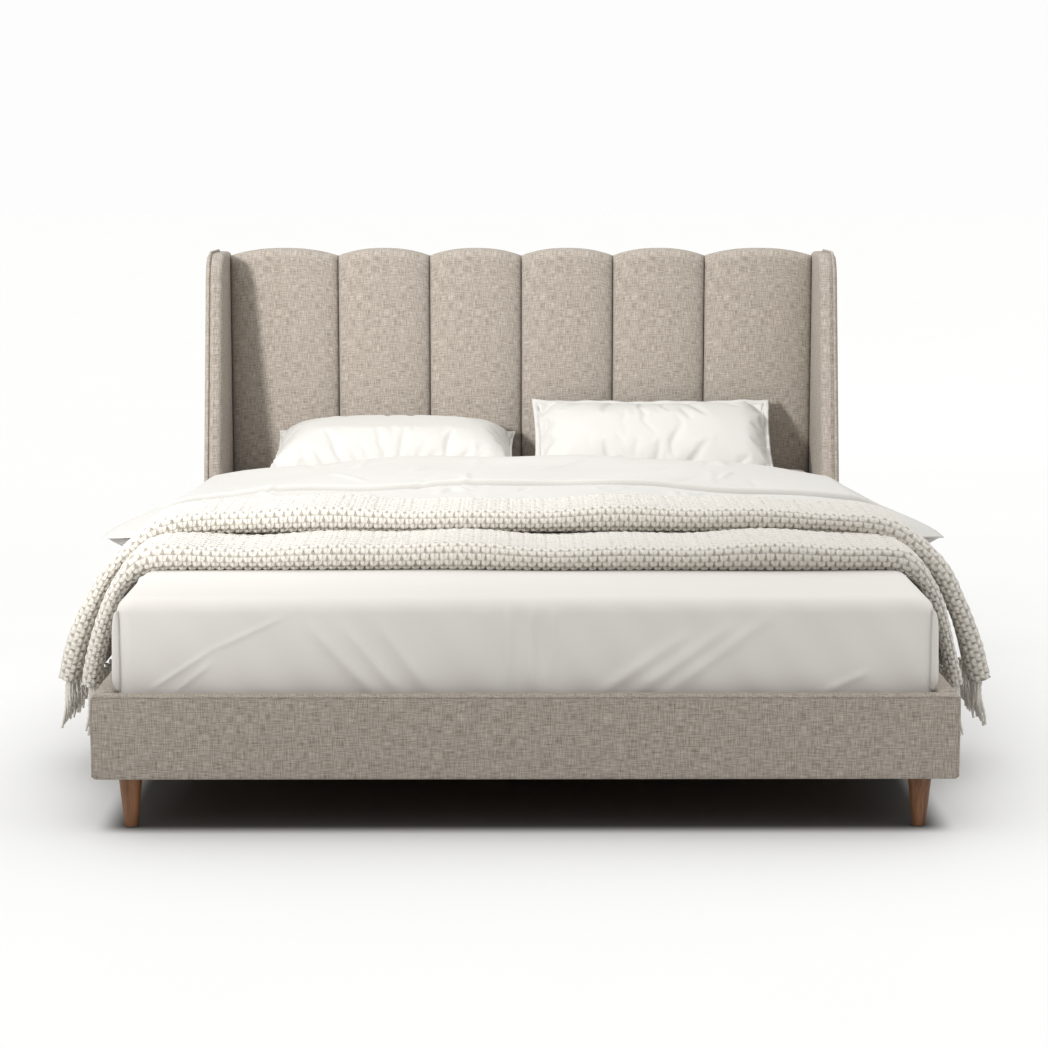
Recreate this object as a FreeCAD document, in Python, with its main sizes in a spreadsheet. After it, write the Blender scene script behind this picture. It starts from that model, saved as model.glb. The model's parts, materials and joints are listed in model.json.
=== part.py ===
"""Upholstered bed with a winged, channelled headboard, a slatted base and its bedding.

Frame of the model: +X across the bed, +Y towards the headboard, +Z up. The origin is on the floor,
in the middle of the bed's length and width. All lengths are in millimetres.
"""

import FreeCAD, Part
import math
import os

import Sketcher

os.makedirs("parts", exist_ok=True)
doc = FreeCAD.newDocument("bed")

# ---------------------------------------------------------------- driving dimensions
SIZES = {
    # mattress and the recess that holds it
    "mattress_wide": 1524,
    "mattress_long": 2032,
    "mattress_thick": 248,
    "mattress_round": 30,
    "sheet_thick": 2,
    "sheet_gap": 0.3,
    "side_gap": 5,
    "recess_deep": 74,
    # rails: a board in a padded cover
    "rail_board": 25,
    "rail_tall": 160,
    "cover_outer": 10,
    "cover_inner": 4,
    "cover_top": 8,
    "cover_under": 3,
    # legs and the corner blocks that carry them
    "leg_tall": 104,
    "leg_top_dia": 46,
    "leg_toe_dia": 26,
    "leg_set_side": 25,
    "leg_set_end": 24,
    "block_side": 70,
    "plate_side": 44,
    "plate_thick": 2.5,
    "glide_thick": 3,
    "stud_dia": 8,
    "stud_deep": 38,
    "bolt_dia": 8,
    "bolt_reach": 16,
    "bolt_head_dia": 15,
    "bolt_head_tall": 5,
    "hole_clear": 0.2,
    # slats, ledgers and centre beam
    "slat_count": 13,
    "slat_wide": 88,
    "slat_thick": 18,
    "slat_end_gap": 2,
    "slat_first": 15,
    "ledger_wide": 28,
    "ledger_tall": 22,
    "tape_wide": 25,
    "tape_thick": 1.5,
    "tape_apart": 760,
    "beam_wide": 40,
    "beam_tall": 60,
    "hanger_thick": 3,
    "hanger_shelf": 40,
    "centre_leg_dia": 42,
    "foot_low": 24,
    "stem_dia": 10,
    "stem_deep": 45,
    "stem_clear": 0.06,
    "wheel_dia": 28,
    "wheel_tall": 7,
    "pad_dia": 40,
    "pad_tall": 9,
    "pad_wall": 3,
    # headboard
    "valley_tall": 1002,
    "scallop_rise": 20,
    "channel_wide": 242,
    "channel_deep": 45,
    "channel_gap": 0.6,
    "channel_round": 14,
    "channel_lift": 6,
    "board_drop": 8,
    "ply_thick": 12,
    "frame_thick": 22,
    "frame_wide": 60,
    "cloth_thick": 2,
    "cross_thick": 25,
    # wings
    "wing_tall": 1012,
    "wing_board": 18,
    "wing_pad_inner": 12,
    "wing_pad_outer": 15,
    "wing_pad_edge": 14,
    "wing_reach_low": 300,
    "wing_reach_top": 140,
    "wing_corner": 60,
    "welt_dia": 8,
    "welt_gap": 0.3,
    "welt_inset": 9,
    # bedding
    "soft_gap": 0.7,
    "throw_start": 358,
    "throw_wide": 462,
    "throw_set_back": 221,
    "band_thick": 46,
    "throw_clear": 3,
    "throw_out": 118,
    "throw_drop": 230,
    "throw_step_out": 64,
    "throw_step_down": 16,
    "fringe_long": 95,
    "fringe_dia": 8,
    "low_tassels": 8,
    "high_tassels": 9,
    "duvet_behind": 8,
    "pillow_room": 340.6,
    "duvet_edge": 25,
    "duvet_crown": 66,
    "duvet_flap_out": 150,
    "duvet_flap_drop": 6,
    "duvet_flap_thick": 30,
    "pillow_wide": 612,
    "pillow_apart": 44,
    "pillow_gap": 8,
    "pillow_low_tall": 150,
    "pillow_high_tall": 192,
    "pillow_round": 26,
}

# ---------------------------------------------------------------- places worked out from them
PLACES = {
    "recess_half": "Sizes.mattress_wide / 2 + Sizes.sheet_gap + Sizes.sheet_thick + Sizes.side_gap",
    "recess_long": "Sizes.mattress_long + 2 * (Sizes.sheet_gap + Sizes.sheet_thick + Sizes.side_gap)",
    "rail_wide": "Sizes.cover_outer + Sizes.rail_board + Sizes.cover_inner",
    "base_half": "recess_half + rail_wide",
    "head_deep": "Sizes.channel_deep + Sizes.ply_thick + Sizes.frame_thick + Sizes.cloth_thick",
    "bed_long": "rail_wide + recess_long + head_deep",
    "front_face": "-bed_long / 2",
    "recess_front": "front_face + rail_wide",
    "channel_face": "recess_front + recess_long",
    "ply_face": "channel_face + Sizes.channel_deep",
    "ply_back": "ply_face + Sizes.ply_thick",
    "frame_back": "ply_back + Sizes.frame_thick",
    "cross_face": "ply_face - Sizes.cross_thick",
    "rail_top": "Sizes.leg_tall + Sizes.rail_tall",
    "slat_top": "rail_top - Sizes.recess_deep",
    "slat_base": "slat_top - Sizes.slat_thick",
    "sheet_top": "slat_top + Sizes.mattress_thick + Sizes.sheet_gap + Sizes.sheet_thick",
    "wing_thick": "Sizes.wing_pad_inner + Sizes.wing_board + Sizes.wing_pad_outer",
    "wing_front": "channel_face - Sizes.wing_reach_low",
    "wing_deep": "bed_long / 2 - wing_front",
    "channel_base": "slat_top + Sizes.channel_lift",
    "block_base": "Sizes.leg_tall + Sizes.plate_thick",
    "beam_base": "slat_base - Sizes.beam_tall",
    "leg_across": "recess_half - Sizes.leg_set_side",
    "leg_front_y": "recess_front + Sizes.leg_set_end",
    "leg_rear_y": "cross_face - Sizes.leg_set_end",
    "slat_pitch": "(recess_long - 2 * Sizes.slat_first - Sizes.slat_wide) / (Sizes.slat_count - 1)",
    "duvet_base": "sheet_top + Sizes.soft_gap",
    "throw_front": "front_face + Sizes.throw_start",
    "duvet_front": "throw_front + Sizes.throw_wide + Sizes.duvet_behind",
    "duvet_back": "channel_face - Sizes.pillow_room",
    "duvet_long": "duvet_back - duvet_front",
    "pillow_front": "duvet_back + Sizes.pillow_gap",
    "pillow_deep": "channel_face - 2 - pillow_front",
}


def fill_sheet(name, cells):
    """A spreadsheet with one named cell to a row: its name in column A and its value in column B."""
    sheet = doc.addObject("Spreadsheet::Sheet", name)
    for row, (alias, content) in enumerate(cells.items(), start=1):
        sheet.set(f"A{row}", alias)
        sheet.set(f"B{row}", str(content) if name == "Sizes" else f"={content}")
        sheet.setAlias(f"B{row}", alias)
    doc.recompute()
    return sheet


sizes = fill_sheet("Sizes", SIZES)
places = fill_sheet("Places", PLACES)


def value(text):
    """The number that an expression gives now."""
    return float(sizes.evalExpression(str(text)))


def size(name):
    return value(f"Sizes.{name}")


def place(name):
    return value(f"Places.{name}")


# ---------------------------------------------------------------- ways of making a piece
sub_parts = []


def keep(piece, label):
    """Names a piece and lists it as a sub-part of the bed."""
    piece.Label = label
    sub_parts.append(piece)
    return piece


def bind(piece, **expressions):
    for name, text in expressions.items():
        piece.setExpression(name, str(text))


def put(piece, x="0", y="0", z="0"):
    """Ties a piece's place to expressions."""
    for axis, text in zip("xyz", (x, y, z)):
        piece.setExpression(f"Placement.Base.{axis}", str(text))


def block(name, x, y, z, long_x, long_y, long_z):
    """A box from its lowest corner and its three lengths, each one an expression."""
    piece = doc.addObject("Part::Box", name)
    bind(piece, Length=long_x, Width=long_y, Height=long_z)
    put(piece, x, y, z)
    return piece


def rod(name, x, y, z, dia, tall):
    """An upright cylinder on its base centre."""
    piece = doc.addObject("Part::Cylinder", name)
    bind(piece, Radius=f"({dia}) / 2", Height=tall)
    put(piece, x, y, z)
    return piece


def lying_rod(name, x, y, z, dia, tall, axis, angle):
    """A cylinder turned about a level axis, which points it along X or Y."""
    piece = rod(name, x, y, z, dia, tall)
    piece.Placement.Rotation = FreeCAD.Rotation(axis, angle)
    put(piece, x, y, z)
    return piece


def cut(name, base, tool):
    piece = doc.addObject("Part::Cut", name)
    piece.Base = base
    piece.Tool = tool
    return piece


def gather(name, pieces):
    """Several solids in one object, joined where they touch and apart where they don't."""
    piece = doc.addObject("Part::MultiFuse", name)
    piece.Shapes = pieces
    return piece


def group(name, pieces):
    """Several separate solids in one object."""
    piece = doc.addObject("Part::Compound", name)
    piece.Links = pieces
    return piece


def plane_of(body, role):
    return next(feature for feature in body.Origin.OriginFeatures if feature.Role == role)


def outline(body, name, role, corners):
    """A closed outline in one of the body's own planes, listed anticlockwise.

    A corner is (across, up), or (across, up, radius) where the edge after it is an arc that
    bulges outwards. Each number is an expression, and each corner is tied to its expressions.
    """
    sketch = body.newObject("Sketcher::SketchObject", name)
    sketch.AttachmentSupport = (plane_of(body, role), [""])
    sketch.MapMode = "FlatFace"
    spots = [FreeCAD.Vector(value(corner[0]), value(corner[1]), 0) for corner in corners]
    count = len(corners)
    for index, corner in enumerate(corners):
        start, end = spots[index], spots[(index + 1) % count]
        if len(corner) == 2:
            sketch.addGeometry(Part.LineSegment(start, end), False)
            continue
        radius = value(corner[2])
        chord = end - start
        rise = radius - math.sqrt(radius**2 - (chord.Length / 2) ** 2)
        outward = FreeCAD.Vector(chord.y, -chord.x, 0).normalize()
        middle = (start + end) / 2 + outward * rise
        sketch.addGeometry(Part.Arc(start, middle, end), False)
    for index in range(count):
        sketch.addConstraint(Sketcher.Constraint("Coincident", index, 2, (index + 1) % count, 1))
    for index, corner in enumerate(corners):
        for kind, text, axis in (("DistanceX", corner[0], -2), ("DistanceY", corner[1], -1)):
            amount = value(text)
            if abs(amount) < 1e-9:
                sketch.addConstraint(Sketcher.Constraint("PointOnObject", index, 1, axis))
                continue
            number = sketch.addConstraint(Sketcher.Constraint(kind, -1, 1, index, 1, amount))
            sketch.setExpression(f"Constraints[{number}]", str(text))
        if len(corner) == 3:
            number = sketch.addConstraint(Sketcher.Constraint("Radius", index, value(corner[2])))
            sketch.setExpression(f"Constraints[{number}]", str(corner[2]))
    return sketch


def padded_outline(name, role, corners, deep, backwards=False, both_ways=False):
    """A body that carries an outline straight through a depth."""
    body = doc.addObject("PartDesign::Body", name)
    pad = body.newObject("PartDesign::Pad", f"{name}_pad")
    pad.Profile = outline(body, f"{name}_outline", role, corners)
    pad.Reversed = backwards
    pad.Midplane = both_ways
    pad.setExpression("Length", str(deep))
    doc.recompute()
    return body


def round_edges(body, name, radius, wanted):
    """Rounds the edges of the body's last feature that the test picks."""
    tip = body.Tip
    names = [f"Edge{i}" for i, edge in enumerate(tip.Shape.Edges, start=1) if wanted(edge)]
    rounding = body.newObject("PartDesign::Fillet", name)
    rounding.Base = (tip, names)
    rounding.setExpression("Radius", str(radius))
    doc.recompute()
    return body


def turned(name, corners):
    """A body turned about its upright axis from an outline in the XZ plane."""
    body = doc.addObject("PartDesign::Body", name)
    turn = body.newObject("PartDesign::Revolution", f"{name}_turn")
    turn.Profile = outline(body, f"{name}_outline", "XZ_Plane", corners)
    turn.ReferenceAxis = (plane_of(body, "Z_Axis"), [""])
    turn.Angle = 360
    doc.recompute()
    return body


# ---------------------------------------------------------------- bolts and the holes they need
SIDES = (("left", -1), ("right", 1))
ENDS = (("front", 1), ("rear", -1))
BOLT_HEIGHTS = {"side": 0.30, "end": 0.70}


def bolt_place(end, hand, kind):
    """Start of a bolt on its block's inner face, in expressions: x, y, z."""
    level = f"Places.block_base + {BOLT_HEIGHTS[kind]} * (Places.slat_base - Places.block_base)"
    wall = "Places.recess_front" if end == "front" else "Places.cross_face"
    inward = "+" if end == "front" else "-"
    if kind == "side":
        return f"{hand} * (Places.recess_half - Sizes.block_side)", f"{wall} {inward} Sizes.block_side * 0.7", level
    return f"{hand} * (Places.recess_half - Sizes.block_side * 0.7)", f"{wall} {inward} Sizes.block_side", level


def bolt_rod(name, end, hand, kind, dia, start, long):
    """A rod along a corner bolt's axis, from a distance past the block's inner face."""
    x, y, z = bolt_place(end, hand, kind)
    if kind == "side":
        angle = 90 * hand
        return lying_rod(name, f"{x} + {hand} * ({start})", y, z, dia, long, FreeCAD.Vector(0, 1, 0), angle)
    towards = -1 if end == "front" else 1
    angle = -90 * towards
    return lying_rod(name, x, f"{y} + {towards} * ({start})", z, dia, long, FreeCAD.Vector(1, 0, 0), angle)


def bolt_long(end, kind):
    """Length under the head: through the block and what lies behind it, and into the board."""
    behind = {
        ("front", "side"): "Sizes.cover_inner",
        ("front", "end"): "Sizes.cover_inner",
        ("rear", "side"): "Sizes.wing_pad_inner",
        ("rear", "end"): "0",
    }[(end, kind)]
    return f"Sizes.block_side + {behind} + Sizes.bolt_reach"


bolts = []
holes = []
for end, _ in ENDS:
    for side, hand in SIDES:
        for kind in BOLT_HEIGHTS:
            tag = f"{end}_{side}_{kind}"
            long = bolt_long(end, kind)
            shank = bolt_rod(f"shank_{tag}", end, hand, kind, "Sizes.bolt_dia", "0", long)
            head_start = "-Sizes.bolt_head_tall"
            head = bolt_rod(f"head_{tag}", end, hand, kind, "Sizes.bolt_head_dia", head_start, "Sizes.bolt_head_tall")
            bolts.append(gather(f"bolt_{tag}", [shank, head]))
            bore = "Sizes.bolt_dia + 2 * Sizes.hole_clear"
            hole_long = f"{long} + Sizes.hole_clear"
            holes.append(bolt_rod(f"hole_{tag}", end, hand, kind, bore, "0", hole_long))
bolt_holes = group("bolt_holes", holes)
keep(group("bolts", bolts), "corner_bolts")

# ---------------------------------------------------------------- rails
board_base = "Sizes.leg_tall + Sizes.cover_under"
board_tall = "Sizes.rail_tall - Sizes.cover_under - Sizes.cover_top"
side_board_x = "Places.recess_half + Sizes.cover_inner"
board_front = "Places.front_face + Sizes.cover_outer"

foot_blank = block(
    "foot_blank", f"-({side_board_x})", board_front, board_base,
    f"2 * ({side_board_x})", "Sizes.rail_board", board_tall,
)
keep(cut("foot_board", foot_blank, bolt_holes), "foot_rail")

cover_blank = block(
    "foot_cover_blank", "-Places.base_half", "Places.front_face", "Sizes.leg_tall",
    "2 * Places.base_half", "Places.rail_wide", "Sizes.rail_tall",
)
foot_room = block(
    "foot_room", f"-({side_board_x} + Sizes.rail_board)", board_front, board_base,
    f"2 * ({side_board_x} + Sizes.rail_board)", "Sizes.rail_board", board_tall,
)
cover_rooms = [foot_room]
side_boards = {}
for side, hand in SIDES:
    low_x = side_board_x if hand > 0 else f"-({side_board_x} + Sizes.rail_board)"
    board = block(
        f"side_blank_{side}", low_x, board_front, board_base,
        "Sizes.rail_board", f"Places.wing_front - ({board_front})", board_tall,
    )
    side_boards[side] = board
    keep(cut(f"side_board_{side}", board, bolt_holes), f"side_rail_{side}")
    cover_rooms.append(board)
cover_room = gather("cover_room", cover_rooms)
foot_cover = cut("foot_cover_shell", cover_blank, cover_room)
keep(cut("foot_cover", foot_cover, bolt_holes), "foot_rail_cover")

for side, hand in SIDES:
    low_x = "Places.recess_half" if hand > 0 else "-Places.base_half"
    sleeve = block(
        f"side_cover_blank_{side}", low_x, "Places.recess_front", "Sizes.leg_tall",
        "Places.rail_wide", "Places.wing_front - Places.recess_front", "Sizes.rail_tall",
    )
    shell = cut(f"side_cover_shell_{side}", sleeve, side_boards[side])
    keep(cut(f"side_cover_{side}", shell, bolt_holes), f"side_rail_cover_{side}")

head_blank = block(
    "head_blank", "-Places.recess_half", "Places.cross_face", "Sizes.leg_tall",
    "2 * Places.recess_half", "Sizes.cross_thick", "Places.slat_top - Sizes.leg_tall",
)
keep(cut("head_cross", head_blank, bolt_holes), "head_cross_rail")

# ---------------------------------------------------------------- corner blocks, legs and their studs
stud_base = "Sizes.leg_tall - Sizes.stud_deep"
stud_long = "2 * Sizes.stud_deep"
stud_bore = "Sizes.stud_dia + 2 * Sizes.hole_clear"
plates = []
studs = []
glides = []
for end, way in ENDS:
    leg_y = f"Places.leg_{end}_y"
    block_y = "Places.recess_front" if end == "front" else "Places.cross_face - Sizes.block_side"
    for side, hand in SIDES:
        tag = f"{end}_{side}"
        leg_x = f"{hand} * Places.leg_across"
        low_x = "Places.recess_half - Sizes.block_side" if hand > 0 else "-Places.recess_half"
        blank = block(
            f"block_blank_{tag}", low_x, block_y, "Places.block_base",
            "Sizes.block_side", "Sizes.block_side", "Places.slat_base - Places.block_base",
        )
        bore_long = "Places.block_base - Sizes.leg_tall + Sizes.stud_deep + Sizes.hole_clear"
        stud_room = rod(f"stud_room_{tag}", leg_x, leg_y, "Sizes.leg_tall", stud_bore, bore_long)
        bored = cut(f"block_bored_{tag}", blank, stud_room)
        keep(cut(f"block_{tag}", bored, bolt_holes), f"corner_block_{tag}")

        plate = block(
            f"plate_blank_{tag}", f"{leg_x} - Sizes.plate_side / 2", f"{leg_y} - Sizes.plate_side / 2",
            "Sizes.leg_tall", "Sizes.plate_side", "Sizes.plate_side", "Sizes.plate_thick",
        )
        plates.append(cut(f"plate_{tag}", plate, stud_room))
        studs.append(rod(f"stud_{tag}", leg_x, leg_y, stud_base, "Sizes.stud_dia", stud_long))
        glides.append(rod(f"glide_{tag}", leg_x, leg_y, "0", "Sizes.leg_toe_dia - 2", "Sizes.glide_thick"))

        leg_long = "(Sizes.leg_tall - Sizes.glide_thick)"
        bore_half = f"({stud_bore}) / 2"
        bore_floor = f"{leg_long} - Sizes.stud_deep - Sizes.hole_clear"
        leg = turned(f"leg_{tag}", [
            ("0", "0"),
            ("Sizes.leg_toe_dia / 2", "0"),
            ("Sizes.leg_top_dia / 2", leg_long),
            (bore_half, leg_long),
            (bore_half, bore_floor),
            ("0", bore_floor),
        ])
        put(leg, leg_x, leg_y, "Sizes.glide_thick")
        keep(leg, f"leg_{tag}")
keep(group("plates", plates), "leg_plates")
keep(group("studs", studs), "leg_studs")
keep(group("glides", glides), "leg_glides")

# ---------------------------------------------------------------- slats, ledgers and centre beam
ledger_front = "Places.recess_front + Sizes.block_side"
ledger_long = f"Places.cross_face - Sizes.block_side - ({ledger_front})"
for side, hand in SIDES:
    low_x = "Places.recess_half - Sizes.ledger_wide" if hand > 0 else "-Places.recess_half"
    ledger = block(
        f"ledger_{side}", low_x, ledger_front, "Places.slat_base - Sizes.ledger_tall",
        "Sizes.ledger_wide", ledger_long, "Sizes.ledger_tall",
    )
    keep(ledger, f"slat_ledger_{side}")

slats = []
for number in range(int(size("slat_count"))):
    slats.append(block(
        f"slat_{number + 1}", "-Places.recess_half + Sizes.slat_end_gap",
        f"Places.recess_front + Sizes.slat_first + {number} * Places.slat_pitch", "Places.slat_base",
        "2 * (Places.recess_half - Sizes.slat_end_gap)", "Sizes.slat_wide", "Sizes.slat_thick",
    ))
keep(group("slat_row", slats), "slats")

tapes = []
for side, hand in SIDES:
    tapes.append(block(
        f"tape_{side}", f"{hand} * Sizes.tape_apart / 2 - Sizes.tape_wide / 2",
        "Places.recess_front + Sizes.slat_first", "Places.slat_base - Sizes.tape_thick",
        "Sizes.tape_wide", "Places.recess_long - 2 * Sizes.slat_first", "Sizes.tape_thick",
    ))
keep(group("tapes", tapes), "slat_tapes")

beam_front = "Places.recess_front + Sizes.hanger_thick"
beam_back = "Places.cross_face - Sizes.hanger_thick"
keep(block(
    "beam", "-Sizes.beam_wide / 2", beam_front, "Places.beam_base",
    "Sizes.beam_wide", f"{beam_back} - ({beam_front})", "Sizes.beam_tall",
), "centre_beam")

hangers = []
for end, wall, shelf in (
    ("front", "Places.recess_front", "Places.recess_front"),
    ("rear", beam_back, "Places.cross_face - Sizes.hanger_shelf"),
):
    upright = block(
        f"hanger_back_{end}", "-Sizes.beam_wide / 2", wall, "Places.beam_base - Sizes.hanger_thick",
        "Sizes.beam_wide", "Sizes.hanger_thick", "Sizes.beam_tall + Sizes.hanger_thick",
    )
    ledge = block(
        f"hanger_shelf_{end}", "-Sizes.beam_wide / 2", shelf, "Places.beam_base - Sizes.hanger_thick",
        "Sizes.beam_wide", "Sizes.hanger_shelf", "Sizes.hanger_thick",
    )
    hangers.append(gather(f"hanger_{end}", [upright, ledge]))
keep(group("hangers", hangers), "beam_hangers")

# ---------------------------------------------------------------- centre legs with screw feet
CENTRE_LEG_SHARES = (1 / 3, 2 / 3)
stem_room = "Sizes.stem_dia + 2 * Sizes.stem_clear"
for number, share in enumerate(CENTRE_LEG_SHARES, start=1):
    leg_y = f"Places.recess_front + {share} * Places.recess_long"
    leg_blank = rod(
        f"centre_leg_blank_{number}", "0", leg_y, "Sizes.foot_low",
        "Sizes.centre_leg_dia", "Places.beam_base - Sizes.foot_low",
    )
    leg_bore = rod(f"centre_leg_bore_{number}", "0", leg_y, "Sizes.foot_low", stem_room, "Sizes.stem_deep + 22")
    keep(cut(f"centre_leg_{number}_cut", leg_blank, leg_bore), f"centre_leg_{number}")

    stem_base = "Sizes.pad_wall + Sizes.stem_clear"
    stem_rod = rod(
        f"stem_rod_{number}", "0", leg_y, stem_base,
        "Sizes.stem_dia", f"Sizes.foot_low + Sizes.stem_deep - ({stem_base})",
    )
    wheel = rod(
        f"stem_wheel_{number}", "0", leg_y, "Sizes.pad_tall + Sizes.stem_clear",
        "Sizes.wheel_dia", "Sizes.wheel_tall",
    )
    keep(gather(f"stem_{number}", [stem_rod, wheel]), f"foot_stem_{number}")

    pad_blank = rod(f"foot_pad_blank_{number}", "0", leg_y, "0", "Sizes.pad_dia", "Sizes.pad_tall")
    pad_bore = rod(f"foot_pad_bore_{number}", "0", leg_y, "Sizes.pad_wall", stem_room, "Sizes.pad_tall")
    keep(cut(f"foot_pad_{number}_cut", pad_blank, pad_bore), f"foot_pad_{number}")

# ---------------------------------------------------------------- headboard
outer_wide = "(Places.recess_half - 2 * Sizes.channel_wide)"
CHANNELS = (
    ("-Places.recess_half", outer_wide),
    ("-2 * Sizes.channel_wide", "Sizes.channel_wide"),
    ("-Sizes.channel_wide", "Sizes.channel_wide"),
    ("0", "Sizes.channel_wide"),
    ("Sizes.channel_wide", "Sizes.channel_wide"),
    ("2 * Sizes.channel_wide", outer_wide),
)


def arc_radius(wide, rise):
    """Radius of the arc that stands a rise above a chord."""
    return f"(({wide}) * ({wide}) / (8 * ({rise})) + ({rise}) / 2)"


board_corners = [("-Places.recess_half", "0"), ("Places.recess_half", "0")]
board_valley = "Sizes.valley_tall - Sizes.board_drop - Sizes.leg_tall"
for start, wide in reversed(CHANNELS):
    board_corners.append((f"{start} + {wide}", board_valley, arc_radius(wide, "Sizes.scallop_rise")))
board_corners.append(("-Places.recess_half", board_valley))
ply = padded_outline("ply", "XZ_Plane", board_corners, "Sizes.ply_thick", backwards=True)
put(ply, y="Places.ply_face", z="Sizes.leg_tall")
keep(ply, "headboard_panel")

for number, (start, wide) in enumerate(CHANNELS, start=1):
    body_wide = f"({wide} - Sizes.channel_gap)"
    straight = "Sizes.valley_tall - Places.channel_base"
    channel = padded_outline(f"channel_{number}", "XZ_Plane", [
        ("0", "0"),
        (body_wide, "0"),
        (body_wide, straight, arc_radius(body_wide, "Sizes.scallop_rise")),
        ("0", straight),
    ], "Sizes.channel_deep")
    front = -size("channel_deep")
    round_edges(
        channel, f"channel_round_{number}", "Sizes.channel_round",
        lambda edge: abs(edge.BoundBox.YMin - front) < 0.01 and abs(edge.BoundBox.YMax - front) < 0.01,
    )
    put(channel, f"{start} + Sizes.channel_gap / 2", "Places.ply_face", "Places.channel_base")
    keep(channel, f"headboard_channel_{number}")

frame_long = "2 * Places.recess_half"
frame_top = "Sizes.valley_tall - Sizes.board_drop - Sizes.frame_wide"
keep(block(
    "frame_top", "-Places.recess_half", "Places.ply_back", frame_top,
    frame_long, "Sizes.frame_thick", "Sizes.frame_wide",
), "headboard_top_rail")
keep(block(
    "frame_low", "-Places.recess_half", "Places.ply_back", "Sizes.leg_tall",
    frame_long, "Sizes.frame_thick", "Sizes.frame_wide",
), "headboard_bottom_rail")
STUDS = (
    ("left", "-Places.recess_half"),
    ("centre", "-Sizes.frame_wide / 2"),
    ("right", "Places.recess_half - Sizes.frame_wide"),
)
for tag, low_x in STUDS:
    stud = block(
        f"frame_stud_{tag}", low_x, "Places.ply_back", "Sizes.leg_tall + Sizes.frame_wide",
        "Sizes.frame_wide", "Sizes.frame_thick", f"{frame_top} - Sizes.leg_tall - Sizes.frame_wide",
    )
    keep(stud, f"headboard_stud_{tag}")
keep(block(
    "back_cloth", "-Places.recess_half", "Places.frame_back", "Sizes.leg_tall",
    frame_long, "Sizes.cloth_thick", "Sizes.valley_tall - Sizes.board_drop - Sizes.leg_tall",
), "headboard_back_cloth")

# ---------------------------------------------------------------- wings
wing_low = "Places.rail_top - Sizes.leg_tall"
wing_high = "Sizes.wing_tall - Sizes.leg_tall"
wing_slope = "Sizes.wing_reach_low - Sizes.wing_reach_top"


def wing_body(name, edge, deep, radius):
    """The wing's side outline, seen from +X, drawn back by an edge width at the front and top."""
    body = padded_outline(name, "YZ_Plane", [
        (edge, "0"),
        ("Places.wing_deep", "0"),
        ("Places.wing_deep", f"{wing_high} - {edge}"),
        (f"{wing_slope} + {edge}", f"{wing_high} - {edge}"),
        (edge, wing_low),
    ], deep)
    top = value(f"{wing_high} - {edge}")
    corner_y = value(f"{wing_slope} + {edge}")

    def is_top_corner(edge_found):
        box = edge_found.BoundBox
        return abs(box.ZMin - top) < 0.01 and abs(box.YMin - corner_y) < 0.01 and box.YLength < 0.01

    return round_edges(body, f"{name}_corner", radius, is_top_corner)


def wing_welt(x):
    """A cord of fabric in front of the wing's edge, from the rail up, round its corner and over its top."""
    off = size("welt_dia") / 2 + size("welt_gap")
    slope_y = value(wing_slope)
    slope_z = size("wing_tall") - place("rail_top")
    lean = math.atan2(slope_y, slope_z)
    bend = FreeCAD.Vector(x, place("wing_front") - off, place("rail_top") + off * math.tan(lean / 2))
    top_z = size("wing_tall") + off
    rise = top_z - bend.z
    peak = FreeCAD.Vector(x, bend.y + rise * math.tan(lean), top_z)
    radius = size("wing_corner") + off
    turn = math.pi / 2 - lean
    setback = radius * math.tan(turn / 2)
    along = (peak - bend).normalize()
    low = bend + along * off
    start = peak - along * setback
    end = peak + FreeCAD.Vector(0, setback, 0)
    centre = end - FreeCAD.Vector(0, 0, radius)
    middle_way = ((start - centre).normalize() + (end - centre).normalize()).normalize()
    back = FreeCAD.Vector(x, place("bed_long") / 2, top_z)
    path = Part.Wire([
        Part.LineSegment(low, start).toShape(),
        Part.Arc(start, centre + middle_way * radius, end).toShape(),
        Part.LineSegment(end, back).toShape(),
    ])
    ring = Part.Wire([Part.makeCircle(size("welt_dia") / 2, low, along)])
    return path.makePipeShell([ring], True, False, 1)


for side, hand in SIDES:
    outer = wing_body(f"wing_outer_{side}", "0", "Places.wing_thick", "Sizes.wing_corner")
    low_x = "Places.recess_half" if hand > 0 else "-Places.recess_half - Places.wing_thick"
    put(outer, low_x, "Places.wing_front", "Sizes.leg_tall")
    board_radius = "Sizes.wing_corner - Sizes.wing_pad_edge"
    board = wing_body(f"wing_core_{side}", "Sizes.wing_pad_edge", "Sizes.wing_board", board_radius)
    board_x = "Places.recess_half + Sizes.wing_pad_inner"
    board_low_x = board_x if hand > 0 else f"-({board_x} + Sizes.wing_board)"
    put(board, board_low_x, "Places.wing_front", "Sizes.leg_tall")
    keep(cut(f"wing_core_bored_{side}", board, bolt_holes), f"wing_board_{side}")
    shell = cut(f"wing_pad_shell_{side}", outer, board)
    keep(cut(f"wing_pad_{side}_cut", shell, bolt_holes), f"wing_pad_{side}")
    welt = doc.addObject("Part::Feature", f"welt_{side}")
    welt.Shape = wing_welt(hand * (place("recess_half") + place("wing_thick") - size("welt_inset")))
    keep(welt, f"wing_welt_{side}")

# ---------------------------------------------------------------- mattress and fitted sheet


def rounded_block(name, x, y, z, long_x, long_y, long_z, radius):
    """A box whose upright corners and top edges are rounded."""
    blank = block(f"{name}_blank", x, y, z, long_x, long_y, long_z)
    doc.recompute()
    low = blank.Shape.BoundBox.ZMin
    edges = [
        (i, value(radius), value(radius))
        for i, edge in enumerate(blank.Shape.Edges, start=1)
        if not (edge.BoundBox.ZMax - low < 0.01)
    ]
    rounded = doc.addObject("Part::Fillet", name)
    rounded.Base = blank
    rounded.Edges = edges
    return rounded


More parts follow.
